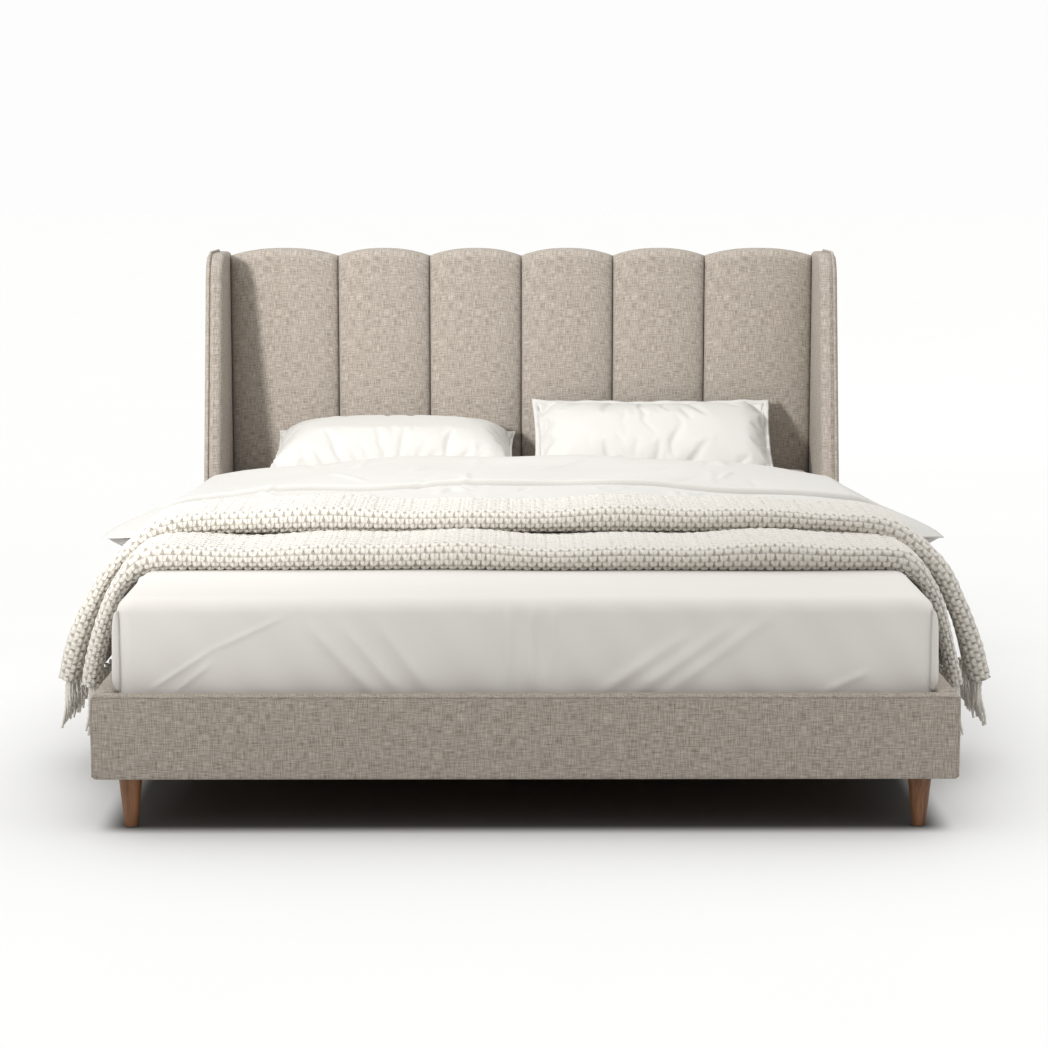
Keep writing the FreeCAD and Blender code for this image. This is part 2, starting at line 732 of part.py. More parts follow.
mattress_y = "Places.recess_front + Sizes.side_gap + Sizes.sheet_thick + Sizes.sheet_gap"
keep(rounded_block(
    "mattress_block", "-Sizes.mattress_wide / 2", mattress_y, "Places.slat_top",
    "Sizes.mattress_wide", "Sizes.mattress_long", "Sizes.mattress_thick", "Sizes.mattress_round",
), "mattress")
sheet_out = "(Sizes.sheet_gap + Sizes.sheet_thick)"
sheet_blank = rounded_block(
    "sheet_outer", f"-Sizes.mattress_wide / 2 - {sheet_out}", f"{mattress_y} - {sheet_out}",
    "Places.slat_top", f"Sizes.mattress_wide + 2 * {sheet_out}",
    f"Sizes.mattress_long + 2 * {sheet_out}", f"Sizes.mattress_thick + {sheet_out}",
    f"Sizes.mattress_round + {sheet_out}",
)
sheet_room = rounded_block(
    "sheet_inner", "-Sizes.mattress_wide / 2 - Sizes.sheet_gap", f"{mattress_y} - Sizes.sheet_gap",
    "Places.slat_top", "Sizes.mattress_wide + 2 * Sizes.sheet_gap",
    "Sizes.mattress_long + 2 * Sizes.sheet_gap", "Sizes.mattress_thick + Sizes.sheet_gap",
    "Sizes.mattress_round + Sizes.sheet_gap",
)
keep(cut("sheet", sheet_blank, sheet_room), "fitted_sheet")

# ---------------------------------------------------------------- duvet, folded back towards its foot
edge_half = "(Sizes.mattress_wide / 2 + Sizes.sheet_gap + Sizes.sheet_thick)"
flap_x = f"({edge_half} + Sizes.duvet_flap_out)"
crown_radius = arc_radius(f"2 * {edge_half}", "Sizes.duvet_crown - Sizes.duvet_edge")
duvet_body = padded_outline("duvet_body", "XZ_Plane", [
    (f"-{flap_x}", "-Sizes.duvet_flap_drop - Sizes.duvet_flap_thick"),
    (f"-{edge_half} - 2", "-2"),
    (f"-{edge_half} - 2", "0"),
    (f"{edge_half} + 2", "0"),
    (f"{edge_half} + 2", "-2"),
    (flap_x, "-Sizes.duvet_flap_drop - Sizes.duvet_flap_thick"),
    (flap_x, "-Sizes.duvet_flap_drop"),
    (edge_half, "Sizes.duvet_edge", crown_radius),
    (f"-{edge_half}", "Sizes.duvet_edge"),
    (f"-{flap_x}", "-Sizes.duvet_flap_drop"),
], "Places.duvet_long", backwards=True)
put(duvet_body, y="Places.duvet_front", z="Places.duvet_base")
keep(duvet_body, "duvet")

# ---------------------------------------------------------------- knitted throw and its fringe
# The throw is folded into two bands, the upper one set back on the lower one. Each hangs past the rails.


def band(name, inner, outer, front, long):
    """One band across the bed: the right half's inner line going down, then its outer line going up."""
    half = [(f"{edge_half} + {x}", z) for x, z in inner + outer]
    mirrored = [(f"-({x})", z) for x, z in reversed(half)]
    piece = padded_outline(name, "XZ_Plane", half + mirrored, long, backwards=True)
    put(piece, y=front, z="Places.duvet_base")
    return piece


hem = "-Sizes.throw_drop"
low_out = "Sizes.throw_out"
thick = "Sizes.band_thick"
low_outer = [
    (low_out, hem),
    (f"{low_out} * 0.87", f"{hem} * 0.57"),
    (f"{low_out} * 0.66", f"{hem} * 0.24"),
    (f"{low_out} * 0.32", "0"),
    (f"-{thick} * 0.45", thick),
]
low_inner = [
    ("Sizes.throw_clear", "0"),
    (f"{low_out} * 0.31", f"{hem} * 0.22"),
    (f"{low_out} * 0.54", f"{hem} * 0.57"),
    (f"{low_out} * 0.72", hem),
]
high_out = "(Sizes.throw_out + Sizes.throw_step_out)"
high_hem = "-(Sizes.throw_drop + Sizes.throw_step_down)"
high_inner = [
    ("-120", f"{thick} - 2"),
    (f"-{thick} * 0.45 - 1", f"{thick} - 2"),
    (f"{low_out} * 0.32 - 2", "-1"),
    (f"{low_out} * 0.66 - 2", f"{hem} * 0.24"),
    (f"{low_out} * 0.87 - 2", f"{hem} * 0.57"),
    (f"{low_out} - 2", high_hem),
]
high_outer = [
    (high_out, high_hem),
    (f"{high_out} * 0.91", f"{high_hem} * 0.81"),
    (f"{high_out} * 0.77", f"{high_hem} * 0.53"),
    (f"{high_out} * 0.61", f"{high_hem} * 0.28"),
    (f"{high_out} * 0.42", f"{high_hem} * 0.04"),
    (f"{thick} * 0.2", f"2 * {thick}"),
]
low_band = band("low_band", low_inner, low_outer, "Places.throw_front", "Sizes.throw_wide")
high_long = "Sizes.throw_wide - Sizes.throw_set_back"
high_band = band("high_band", high_inner, high_outer, "Places.throw_front + Sizes.throw_set_back", high_long)
keep(gather("throw_whole", [low_band, high_band]), "throw")

tassels = []
for row, count, start, span, across, drop in (
    ("low", "low_tassels", "0", "Sizes.throw_set_back", f"{low_out} * 0.86", "Sizes.throw_drop"),
    ("high", "high_tassels", "Sizes.throw_set_back", high_long, f"({low_out} + {high_out}) / 2", f"(-{high_hem})"),
):
    for side, hand in SIDES:
        for number in range(int(size(count))):
            share = (number + 0.5) / size(count)
            tassels.append(rod(
                f"tassel_{row}_{side}_{number + 1}", f"{hand} * ({edge_half} + {across})",
                f"Places.throw_front + {start} + {share} * ({span})",
                f"Places.duvet_base - {drop} - Sizes.fringe_long", "Sizes.fringe_dia", "Sizes.fringe_long",
            ))
keep(group("tassels", tassels), "throw_fringe")

# ---------------------------------------------------------------- pillows


def pillow(name, low_x, profile):
    """A pillow leaning on the headboard: its side outline carried across the bed."""
    body = padded_outline(name, "YZ_Plane", profile, "Sizes.pillow_wide")

    def runs_across(edge):
        return edge.BoundBox.XLength > 1

    round_edges(body, f"{name}_round", "Sizes.pillow_round", runs_across)
    put(body, low_x, "Places.pillow_front", "Places.duvet_base")
    return body


deep = "Places.pillow_deep"
keep(pillow("pillow_low", "-Sizes.pillow_wide - Sizes.pillow_apart / 2", [
    ("0", "0"),
    (deep, "0"),
    (deep, "Sizes.pillow_low_tall * 0.75"),
    (f"{deep} * 0.72", "Sizes.pillow_low_tall"),
    (f"{deep} * 0.3", "Sizes.pillow_low_tall * 0.86"),
    ("0", "Sizes.pillow_low_tall * 0.42"),
]), "pillow_left")
keep(pillow("pillow_high", "Sizes.pillow_apart / 2", [
    ("0", "0"),
    (f"{deep} * 0.8", "0"),
    (deep, "Sizes.pillow_high_tall * 0.5"),
    (deep, "Sizes.pillow_high_tall"),
    (f"{deep} * 0.75", "Sizes.pillow_high_tall"),
    ("0", "Sizes.pillow_high_tall * 0.35"),
]), "pillow_right")

# ---------------------------------------------------------------- check, then write each sub-part
doc.recompute()
for thing in doc.Objects:
    if "Invalid" in thing.State or "Error" in thing.State:
        raise RuntimeError(f"{thing.Name} failed to compute")
for piece in sub_parts:
    if piece.Shape.isNull() or not piece.Shape.isValid() or not piece.Shape.Solids:
        raise RuntimeError(f"{piece.Label} has no valid solid")
labels = [piece.Label for piece in sub_parts]
if len(set(labels)) != len(labels):
    raise RuntimeError("two sub-parts share a name")
for piece in sub_parts:
    piece.Shape.exportStep(f"parts/{piece.Label}.step")
    box = piece.Shape.optimalBoundingBox(False)
    print(
        f"{piece.Label}: {len(piece.Shape.Solids)} solid(s), "
        f"x {box.XMin:.1f} {box.XMax:.1f}, y {box.YMin:.1f} {box.YMax:.1f}, z {box.ZMin:.1f} {box.ZMax:.1f}"
    )
print(f"{len(sub_parts)} sub-parts")
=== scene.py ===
# %% [markdown]
# # An upholstered headboard bed
# The wooden frame, the rails, the slats and the legs of this bed come ready made as a fixed frame.
# What is built here is everything soft around it: the linen covers, the fluted headboard, the wings,
# the sheet, the duvet, the knitted throw and the pillows, each with its own finish.

# %% Load the frame
import json
import math

import bpy
import numpy as np
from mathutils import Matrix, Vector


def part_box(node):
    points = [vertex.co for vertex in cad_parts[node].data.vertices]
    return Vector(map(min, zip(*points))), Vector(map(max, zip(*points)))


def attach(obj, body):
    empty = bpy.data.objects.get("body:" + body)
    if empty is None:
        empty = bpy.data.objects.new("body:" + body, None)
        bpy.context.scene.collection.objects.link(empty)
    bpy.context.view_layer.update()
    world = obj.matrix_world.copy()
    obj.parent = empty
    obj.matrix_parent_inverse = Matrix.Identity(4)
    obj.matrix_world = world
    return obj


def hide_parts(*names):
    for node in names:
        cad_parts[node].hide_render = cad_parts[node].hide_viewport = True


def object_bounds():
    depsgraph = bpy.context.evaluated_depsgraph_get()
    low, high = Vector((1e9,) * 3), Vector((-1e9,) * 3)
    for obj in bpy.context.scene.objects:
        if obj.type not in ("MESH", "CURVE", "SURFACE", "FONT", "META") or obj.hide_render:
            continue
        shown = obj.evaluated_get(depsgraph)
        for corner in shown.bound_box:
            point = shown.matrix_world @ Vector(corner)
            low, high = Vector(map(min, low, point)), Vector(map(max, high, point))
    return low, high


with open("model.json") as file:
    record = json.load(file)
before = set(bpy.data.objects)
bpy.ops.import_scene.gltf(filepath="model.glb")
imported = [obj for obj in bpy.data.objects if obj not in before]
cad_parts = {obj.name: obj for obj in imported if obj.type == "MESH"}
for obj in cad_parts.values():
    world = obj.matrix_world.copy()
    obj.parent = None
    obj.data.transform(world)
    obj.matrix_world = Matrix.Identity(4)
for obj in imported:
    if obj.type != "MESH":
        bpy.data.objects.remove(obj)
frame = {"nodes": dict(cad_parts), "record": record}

CAD_LOW, CAD_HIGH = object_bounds()

# %% [markdown]
# ## Camera
# A bed is usually shown from the foot end, a little above the mattress. A long lens from four and a half
# metres keeps the rails and the headboard nearly parallel, as a catalogue picture does. The camera tilts
# down instead of shifting its film, so that the same lens works from every other side as well.

# %% Camera
CAMERA_AWAY = 4.579
CAMERA_TALL = 1.235
CAMERA_SIDE = -0.0251
CAMERA_DOWN = math.radians(8.07)
CAMERA_TURN = math.radians(-0.276)
CAMERA_LENS = 86.6


def add_camera():
    """A camera in front of the foot rail, looking along +Y and tilted down."""
    data = bpy.data.cameras.new("camera")
    data.lens = CAMERA_LENS
    data.sensor_width = 36
    camera = bpy.data.objects.new("camera", data)
    camera.location = (CAMERA_SIDE, CAD_LOW.y - CAMERA_AWAY, CAMERA_TALL)
    camera.rotation_euler = (math.pi / 2 - CAMERA_DOWN, 0, CAMERA_TURN)
    bpy.context.scene.collection.objects.link(camera)
    bpy.context.scene.camera = camera
    print("camera at", tuple(round(c, 3) for c in camera.location))


add_camera()

# %% [markdown]
# ## Light
# Soft studio light: one spot from the left in front, at twice the headboard's height, draws the flutes and
# throws a soft shade to the right, and a white dome fills the shadows. The dome is all but dark at the
# horizon and bright overhead, so that little light creeps under the bed.

# %% Light
DOME_HORIZON = 0.03
DOME_ZENITH = 1.90
KEY_PLACE = (-2.9, -3.5, 2.05)
KEY_TARGET = (0.0, 1.0, 0.92)
KEY_POWER = 1150
KEY_RADIUS = 0.30
KEY_HALF_ANGLE = 19


def add_surround(horizon, zenith):
    """A white studio dome: dim at the horizon and bright overhead. It is seen as plain white."""
    world = bpy.data.worlds.new("studio")
    world.use_nodes = True
    tree = world.node_tree
    light = tree.nodes["Background"]
    light.inputs["Color"].default_value = (1, 1, 1, 1)
    place = tree.nodes.new("ShaderNodeTexCoord")
    height = tree.nodes.new("ShaderNodeSeparateXYZ")
    rise = tree.nodes.new("ShaderNodeMapRange")
    rise.inputs["To Min"].default_value = horizon
    rise.inputs["To Max"].default_value = zenith
    seen = tree.nodes.new("ShaderNodeBackground")
    seen.inputs["Color"].default_value = (0.98, 0.98, 0.98, 1)
    path = tree.nodes.new("ShaderNodeLightPath")
    mixed = tree.nodes.new("ShaderNodeMixShader")
    tree.links.new(place.outputs["Generated"], height.inputs[0])
    tree.links.new(height.outputs["Z"], rise.inputs["Value"])
    tree.links.new(rise.outputs[0], light.inputs["Strength"])
    tree.links.new(path.outputs["Is Camera Ray"], mixed.inputs[0])
    tree.links.new(light.outputs[0], mixed.inputs[1])
    tree.links.new(seen.outputs[0], mixed.inputs[2])
    tree.links.new(mixed.outputs[0], tree.nodes["World Output"].inputs[0])
    bpy.context.scene.world = world


def add_key(place, target, power, radius, half_angle):
    """A soft-edged spot at place that looks at target: its power in watts, the radius of its lamp in metres
    and half the angle of its cone in degrees. The cone fades out all the way from its axis to its rim."""
    data = bpy.data.lights.new("key_lamp", "SPOT")
    data.energy = power
    data.shadow_soft_size = radius
    data.spot_size = math.radians(2 * half_angle)
    data.spot_blend = 1.0
    lamp = bpy.data.objects.new("key_lamp", data)
    lamp.location = place
    away = np.array(place) - np.array(target)
    flat = math.hypot(away[0], away[1])
    lamp.rotation_euler = (math.atan2(flat, away[2]), 0, math.atan2(away[0], -away[1]))
    bpy.context.scene.collection.objects.link(lamp)


add_surround(DOME_HORIZON, DOME_ZENITH)
add_key(KEY_PLACE, KEY_TARGET, KEY_POWER, KEY_RADIUS, KEY_HALF_ANGLE)
bpy.context.scene.view_settings.view_transform = "Standard"
bpy.context.scene.view_settings.look = "None"

# %% [markdown]
# ## Arithmetic for shaders
# A pattern such as a weave is a sum of waves and noises. Written as nodes it is a page of boxes; written as
# a formula it is one line. So one small class wraps the output of a node, and adding or multiplying two of
# them adds the Math node that does it.

# %% Shader arithmetic
class Flow:
    """A value that leaves a node. Arithmetic on it adds Math nodes to the same finish."""

    def __init__(self, finish, socket):
        self.finish = finish
        self.socket = socket

    def math(self, operation, *values):
        """One Math node on the given values."""
        return self.finish.node("Math", {"operation": operation}, values)

    def __add__(self, other):
        return self.math("ADD", self, other)

    def __sub__(self, other):
        return self.math("SUBTRACT", self, other)

    def __rsub__(self, other):
        return self.math("SUBTRACT", other, self)

    def __mul__(self, other):
        return self.math("MULTIPLY", self, other)

    def __truediv__(self, other):
        return self.math("DIVIDE", self, other)

    def __pow__(self, other):
        return self.math("POWER", self, other)

    def size(self):
        """This value without its sign."""
        return self.math("ABSOLUTE", self)

    def whole(self):
        """The whole number below this value."""
        return self.math("FLOOR", self)

    def above(self, floor):
        """The larger of this value and floor."""
        return self.math("MAXIMUM", self, floor)

    def wave(self):
        """The sine of this value."""
        return self.math("SINE", self)

    def step(self, low, high):
        """0 below low, 1 above high, and a soft rise between."""
        settings = {"interpolation_type": "SMOOTHSTEP"}
        return self.finish.node("MapRange", settings, {"Value": self, "From Min": low, "From Max": high})

    __radd__ = __add__
    __rmul__ = __mul__


class Finish:
    """A material being written: its node tree, its surface shader, and the calls that fill them."""

    def __init__(self, name, constants):
        self.material = bpy.data.materials.new(name)
        self.material.use_nodes = True
        self.tree = self.material.node_tree
        self.surface = self.tree.nodes["Principled BSDF"]
        for socket, value in constants.items():
            self.surface.inputs[socket].default_value = value

    def node(self, kind, settings=None, inputs=(), out=0):
        """A node of that kind: its settings first, then its sockets."""
        made = self.tree.nodes.new("ShaderNode" + kind)
        for key, value in (settings or {}).items():
            setattr(made, key, value)
        pairs = inputs.items() if isinstance(inputs, dict) else enumerate(inputs)
        for key, value in pairs:
            self.join(value, made.inputs[key])
        return Flow(self, made.outputs[out])

    def join(self, value, socket):
        """Links a Flow to a socket, or writes a plain value into it."""
        if isinstance(value, Flow):
            self.tree.links.new(value.socket, socket)
        else:
            socket.default_value = value

    def cloth_place(self):
        """The piece's own cloth coordinates, in metres along and across the threads."""
        return self.node("UVMap", {"uv_map": "cloth"})

    def object_place(self):
        """The place in the object's own space, in metres."""
        return self.node("TexCoord", out="Object")

    def split(self, place):
        """The three numbers of a place."""
        return [self.node("SeparateXYZ", inputs=[place], out=k) for k in range(3)]

    def stretched(self, place, scale):
        """A place with each of its numbers multiplied by its own scale."""
        return self.node("VectorMath", {"operation": "MULTIPLY"}, [place, scale])

    def noise(self, place, scale, detail=2.0, rough=0.5):
        """Cloudy noise between 0 and 1, at each number's own scale per metre."""
        inputs = {"Vector": self.stretched(place, scale), "Scale": 1.0, "Detail": detail, "Roughness": rough}
        return self.node("TexNoise", inputs=inputs)

    def mix(self, factor, first, second):
        """A colour between two colours."""
        return self.node("Mix", {"data_type": "RGBA"}, {0: factor, 6: first, 7: second}, out=2)

    def colour(self, value):
        """Feeds the base colour."""
        self.join(value, self.surface.inputs["Base Color"])

    def rough(self, value):
        """Feeds the roughness."""
        self.join(value, self.surface.inputs["Roughness"])

    def relief(self, height, depth, strength):
        """Bends the light by a height between 0 and 1 that stands for depth in metres."""
        inputs = {"Height": height, "Distance": depth, "Strength": strength}
        self.join(self.node("Bump", inputs=inputs), self.surface.inputs["Normal"])


def shade(red, green, blue):
    """A colour given as screen values from 0 to 255, as the linear numbers a shader wants."""
    linear = [((c / 255 + 0.055) / 1.055) ** 2.4 if c > 10 else c / 255 / 12.92 for c in (red, green, blue)]
    return (*linear, 1.0)


# %% [markdown]
# ## Linen
# The bed is covered in a greige linen mix. Its yarns are uneven: thick and thin stretches, the slubs, run
# along the threads both ways, so that the cloth shows short light and dark strokes in a cross hatch. Two
# noises do this, each squeezed along one direction of the cloth, and a fine basket weave lies under them.

# %% Linen finish
THREAD = 3.2e-3
SLUB_ALONG = 44
SLUB_ACROSS = 430


def linen(name, light, dark):
    """Linen cloth: strokes along both threads, a basket weave below, darker between the threads."""
    f = Finish(name, {"Roughness": 0.92, "Specular IOR Level": 0.15, "Sheen Weight": 0.08,
                      "Sheen Roughness": 0.6})
    place = f.cloth_place()
    u, v = f.split(place)[:2]
    weft = f.noise(place, (SLUB_ALONG, SLUB_ACROSS, 1), 1.0)
    warp = f.noise(place, (SLUB_ACROSS, SLUB_ALONG, 1), 1.0)
    fine = f.noise(place, (900, 900, 1), 1.0)
    turns = 2 * math.pi / THREAD
    basket = (u * turns).wave() * (v * turns).wave() * 0.5 + 0.5
    strokes = weft * 0.5 + warp * 0.5
    slub = strokes * 0.9 + fine * 0.1
    tone = slub * 0.88 + basket * 0.12
    f.colour(f.mix((tone - 0.34) * 3.0, dark, light))
    f.relief(slub * 0.6 + basket * 0.4, 0.0012, 0.5)
    return f.material


GREIGE = linen("greige_linen", shade(184, 175, 164), shade(118, 109, 99))

# %% [markdown]
# ## Surfaces from arrays
# Every soft piece is a grid of points: one parameter runs round or across the piece, the other along it.
# NumPy works the whole grid out at once, and one helper turns any such grid into a mesh. The same helper
# measures the lengths along both ways of the grid and keeps them as cloth coordinates in metres, so a
# weave follows the piece at its real scale.

# %% Grid to mesh
def grid_faces(rows, columns, around, along):
    """Corner numbers of the quads of a grid: (face, 4), closed up around and along where asked."""
    r = np.arange(rows if along else rows - 1)
    c = np.arange(columns if around else columns - 1)
    row, column = (a.ravel() for a in np.meshgrid(r, c, indexing="ij"))
    up, side = row + 1, column + 1
    corners = [(row, column), (row, side), (up, side), (up, column)]
    wrapped = [(a % rows) * columns + b % columns for a, b in corners]
    flat = [a * (columns + around) + b for a, b in corners]
    return np.stack(wrapped, 1), np.stack(flat, 1)


def cloth_lengths(points, around, along):
    """Cloth coordinates of a grid: the running length along each row and along each column."""
    p = points
    if around:
        p = np.concatenate([p, p[:, :1]], 1)
    if along:
        p = np.concatenate([p, p[:1]], 0)
    across = np.linalg.norm(np.diff(p, axis=1), axis=2).mean(0)
    up = np.linalg.norm(np.diff(p, axis=0), axis=2).mean(1)
    u = np.concatenate([[0], np.cumsum(across)])
    v = np.concatenate([[0], np.cumsum(up)])
    return np.stack(np.broadcast_arrays(u[None, :], v[:, None]), 2)


def hem_faces(columns, ratio):
    """Triangles between the outer and the inner half of a folded section: its inner half runs back with one
    point for every ratio points of the outer one."""
    inner = (columns - 1) // (ratio + 1)
    outer = inner * ratio
    k = np.arange(outer)
    beside = columns - 1 - k // ratio
    step = np.arange(inner)
    outside = np.stack([k + 1, k, beside, beside], 1)
    inside = np.stack([(step + 1) * ratio, columns - 1 - step, columns - 2 - step, columns - 2 - step], 1)
    return np.concatenate([outside, inside])


def build(name, parts, material):
    """A mesh object from a list of grids, each a skin of its own: the points, whether they close up around
    and along, and their cloth coordinates. Caps close the first and the last row with a fan, or the last
    alone; hems close both with the strip of hem_faces; turned swaps the side that faces outwards."""
    verts, faces, cloths, start = [], [], [], 0
    for part in parts:
        points = np.asarray(part["points"], float)
        around, along = part.get("around", False), part.get("along", False)
        rows, columns = points.shape[:2]
        quads, flat = grid_faces(rows, columns, around, along)
        cloth = part.get("cloth")
        if cloth is None:
            cloth = cloth_lengths(points, around, along)
        corner_cloth = cloth.reshape(-1, 2)[flat]
        faces_here = [quads + start]
        cloths_here = [corner_cloth]
        verts.append(points.reshape(-1, 3))
        total = rows * columns
        if part.get("caps"):
            ends = ((0, True), (rows - 1, False))
            for row, flip in ends[1:] if part["caps"] == "last" else ends:
                ring = row * columns + np.arange(columns)
                following = np.roll(ring, -1)
                centre = np.full(columns, total)
                verts.append(points[row].mean(0)[None])
                fan = np.stack([ring, following, centre, centre], 1)
                flat_ring = cloth[row, :columns]
                middle = np.broadcast_to(flat_ring.mean(0), flat_ring.shape)
                fan_cloth = np.stack([flat_ring, np.roll(flat_ring, -1, 0), middle, middle], 1)
                if flip:
                    fan = fan[:, [1, 0, 2, 3]]
                    fan_cloth = fan_cloth[:, [1, 0, 2, 3]]
                faces_here.append(fan + start)
                cloths_here.append(fan_cloth)
                total += 1
        if part.get("hems"):
            hem = hem_faces(columns, part["hems"])
            for row, order in ((0, [0, 1, 2, 3]), (rows - 1, [1, 0, 2, 3])):
                faces_here.append(hem[:, order] + row * columns + start)
                cloths_here.append(cloth[row][hem[:, order]])
        quads_all = np.concatenate(faces_here)
        cloth_all = np.concatenate(cloths_here)
        if part.get("turned"):
            quads_all = quads_all[:, ::-1]
            cloth_all = cloth_all[:, ::-1]
            last = quads_all[:, 0] == quads_all[:, 1]
            quads_all[last] = np.roll(quads_all[last], -2, 1)
            cloth_all[last] = np.roll(cloth_all[last], -2, 1)
        faces.append(quads_all)
        cloths.append(cloth_all)
        start += total
    return mesh_object(name, np.concatenate(verts), np.concatenate(faces), np.concatenate(cloths), material)


def mesh_object(name, verts, quads, cloth, material):
    """A mesh from points and quads; a quad whose last two corners are one point becomes a triangle."""
    three = quads[:, 2] == quads[:, 3]
    counts = np.where(three, 3, 4)
    keep = np.ones(quads.shape, bool)
    keep[three, 3] = False
    loops = quads[keep]
    mesh = bpy.data.meshes.new(name)
    mesh.vertices.add(len(verts))
    mesh.vertices.foreach_set("co", np.asarray(verts, np.float32).ravel())
    mesh.loops.add(len(loops))
    mesh.loops.foreach_set("vertex_index", loops.astype(np.int32))
    mesh.polygons.add(len(quads))
    mesh.polygons.foreach_set("loop_start", (np.cumsum(counts) - counts).astype(np.int32))
    mesh.polygons.foreach_set("use_smooth", np.ones(len(quads), bool))
    layer = mesh.uv_layers.new(name="cloth")
    mesh.update(calc_edges=True)
    mesh.validate()
    layer = mesh.uv_layers["cloth"]
    layer.uv.foreach_set("vector", cloth[keep].astype(np.float32).ravel())
    mesh.materials.append(material)
    made = bpy.data.objects.new(name, mesh)
    bpy.context.scene.collection.objects.link(made)
    triangles = int((counts - 2).sum())
    print(f"{name}: {len(verts)} points, {triangles} triangles")
    return made


def closed(points):
    """The part of build for a solid: sections closed up around, with a cap at each end."""
    return {"points": points, "around": True, "caps": True}


def point_values(piece, name, values):
    """Keeps one number for each point of a piece as an attribute, which its finish reads."""
    layer = piece.data.attributes.new(name, "FLOAT", "POINT")
    layer.data.foreach_set("value", np.asarray(values, np.float32).ravel())


def finish_piece(piece, body, slot, *nodes):
    """Says what a piece rides on and which plain solids it stands for; the slot argument is not used."""
    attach(piece, body)
    if nodes:
        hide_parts(*nodes)
    return piece


def smooth(t):
    """A rise from 0 to 1 with flat ends, for t from 0 to 1."""
    t = np.clip(t, 0, 1)
    return t * t * (3 - 2 * t)


# %% [markdown]
# ## Floor
# A plain pale floor, far larger than the bed, so that its edge is never seen. It glows a little, like a lit
# studio floor, and a dark shadow is painted on it under the bed, where its glow is turned off as well.

# %% Floor
FLOOR_REACH = 60.0
FLOOR_GLOW = 0.04
# size of the painted shadow under the bed: half width, half length, and how far its soft edge reaches out and
# in
SHADE_HALF_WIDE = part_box("foot_rail_cover")[1].x - 0.01
SHADE_HALF_LONG = -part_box("foot_rail_cover")[0].y - 0.02
SHADE_OUTER = 0.02
SHADE_INNER = 0.05


def add_floor():
    """A flat square with a faint mottling and a painted shadow where the bed stands: dark, with no glow."""
    f = Finish("pale_floor", {"Roughness": 0.9, "Specular IOR Level": 0.1, "Emission Strength": FLOOR_GLOW})
    place = f.object_place()
    mottle = f.noise(place, (1.5, 1.5, 1.5), 3.0)
    pale = f.mix(mottle, shade(225, 225, 224), shade(227, 227, 226))
    x, y = f.split(place)[:2]
    # painted shadow: a mask that is 1 inside the bed's footprint, with a soft edge
    beside = x.size().step(SHADE_HALF_WIDE + SHADE_OUTER, SHADE_HALF_WIDE - SHADE_INNER)
    before = y.size().step(SHADE_HALF_LONG + SHADE_OUTER, SHADE_HALF_LONG - SHADE_INNER)
    under = beside * before
    # the painted shadow under the bed: dark colour, and no glow
    f.colour(f.mix(under, pale, shade(88, 86, 84)))
    f.join(f.mix(under, pale, shade(0, 0, 0)), f.surface.inputs["Emission Color"])
    edge = np.array([-FLOOR_REACH, FLOOR_REACH])
    x, y = np.meshgrid(edge, edge)
    floor = build("floor", [{"points": np.stack([x, y, x * 0], 2)}], f.material)


add_floor()

# %% [markdown]
# ## Rails
# Each rail is a board in a padded linen cover. The cover is drawn tight, so the long faces are nearly flat,
# and only the padding rounds the edges. A section with round corners is carried along the rail, and it
# shrinks over the last few millimetres at both ends, so that the ends are round as well.

# %% Rail covers
def round_section(half_a, half_b, radius, steps, puff=0.0):
    """A rectangle with round corners as (points, 2): each corner is an arc, and puff lifts each side
    between two corners."""
    turn = np.linspace(0, np.pi / 2, steps)
    corners = []
    for quarter, (sign_a, sign_b) in enumerate(((1, 1), (-1, 1), (-1, -1), (1, -1))):
        angle = turn + quarter * np.pi / 2
        a = sign_a * (half_a - radius) + radius * np.cos(angle)
        b = sign_b * (half_b - radius) + radius * np.sin(angle)
        corners.append(np.stack([a, b], 1))
    ring = []
    for quarter in range(4):
        here, there = corners[quarter], corners[(quarter + 1) % 4]
        ring.append(here)
        share = np.linspace(0, 1, steps + 2)[1:-1, None]
        straight = here[-1] * (1 - share) + there[0] * share
        out = np.array([[0, 1], [-1, 0], [0, -1], [1, 0]])[quarter]
        ring.append(straight + out * puff * np.sin(np.pi * share))
    return np.concatenate(ring)


def padded_bar(low, high, along, radius, end_radius, stations, puff):
    """A padded bar in the box low..high that runs along one axis: its section shrinks by a quarter circle
    over end_radius at each end."""
    low, high = np.array(low, float), np.array(high, float)
    a, b = [k for k in range(3) if k != along]
    if along == 1:
        a, b = b, a
    centre, half = (low + high) / 2, (high - low) / 2
    turn = np.linspace(0, np.pi / 2, 6)
    start = low[along] + end_radius * (1 - np.cos(turn))
    inset = end_radius * (1 - np.sin(turn))
    place = np.concatenate([start, np.linspace(start[-1], 2 * centre[along] - start[-1], stations)[1:-1],
                            2 * centre[along] - start[::-1]])
    shrink = np.concatenate([inset, np.zeros(stations - 2), inset[::-1]])
    rings = []
    for here, less in zip(place, shrink):
        ring = round_section(half[a] - less, half[b] - less, max(radius - less, radius * 0.3), 7, puff)
        points = np.zeros((len(ring), 3))
        points[:, along] = here
        points[:, a] = centre[a] + ring[:, 0]
        points[:, b] = centre[b] + ring[:, 1]
        rings.append(points)
    return np.array(rings)


RAIL_ROUND = 0.009
RAIL_END_ROUND = 0.008
RAIL_PUFF = 0.0008
RAIL_STATIONS = 40


def rail_cover(node, along):
    """The cover of one rail, in the box of its plain solid."""
    low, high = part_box(node)
    points = padded_bar(low, high, along, RAIL_ROUND, RAIL_END_ROUND, RAIL_STATIONS, RAIL_PUFF)
    piece = build(node + "_linen", [closed(points)], GREIGE)
    return finish_piece(piece, "bed_frame", "greige_linen", node)


rail_cover("foot_rail_cover", 0)
rail_cover("side_rail_cover_left", 1)
rail_cover("side_rail_cover_right", 1)

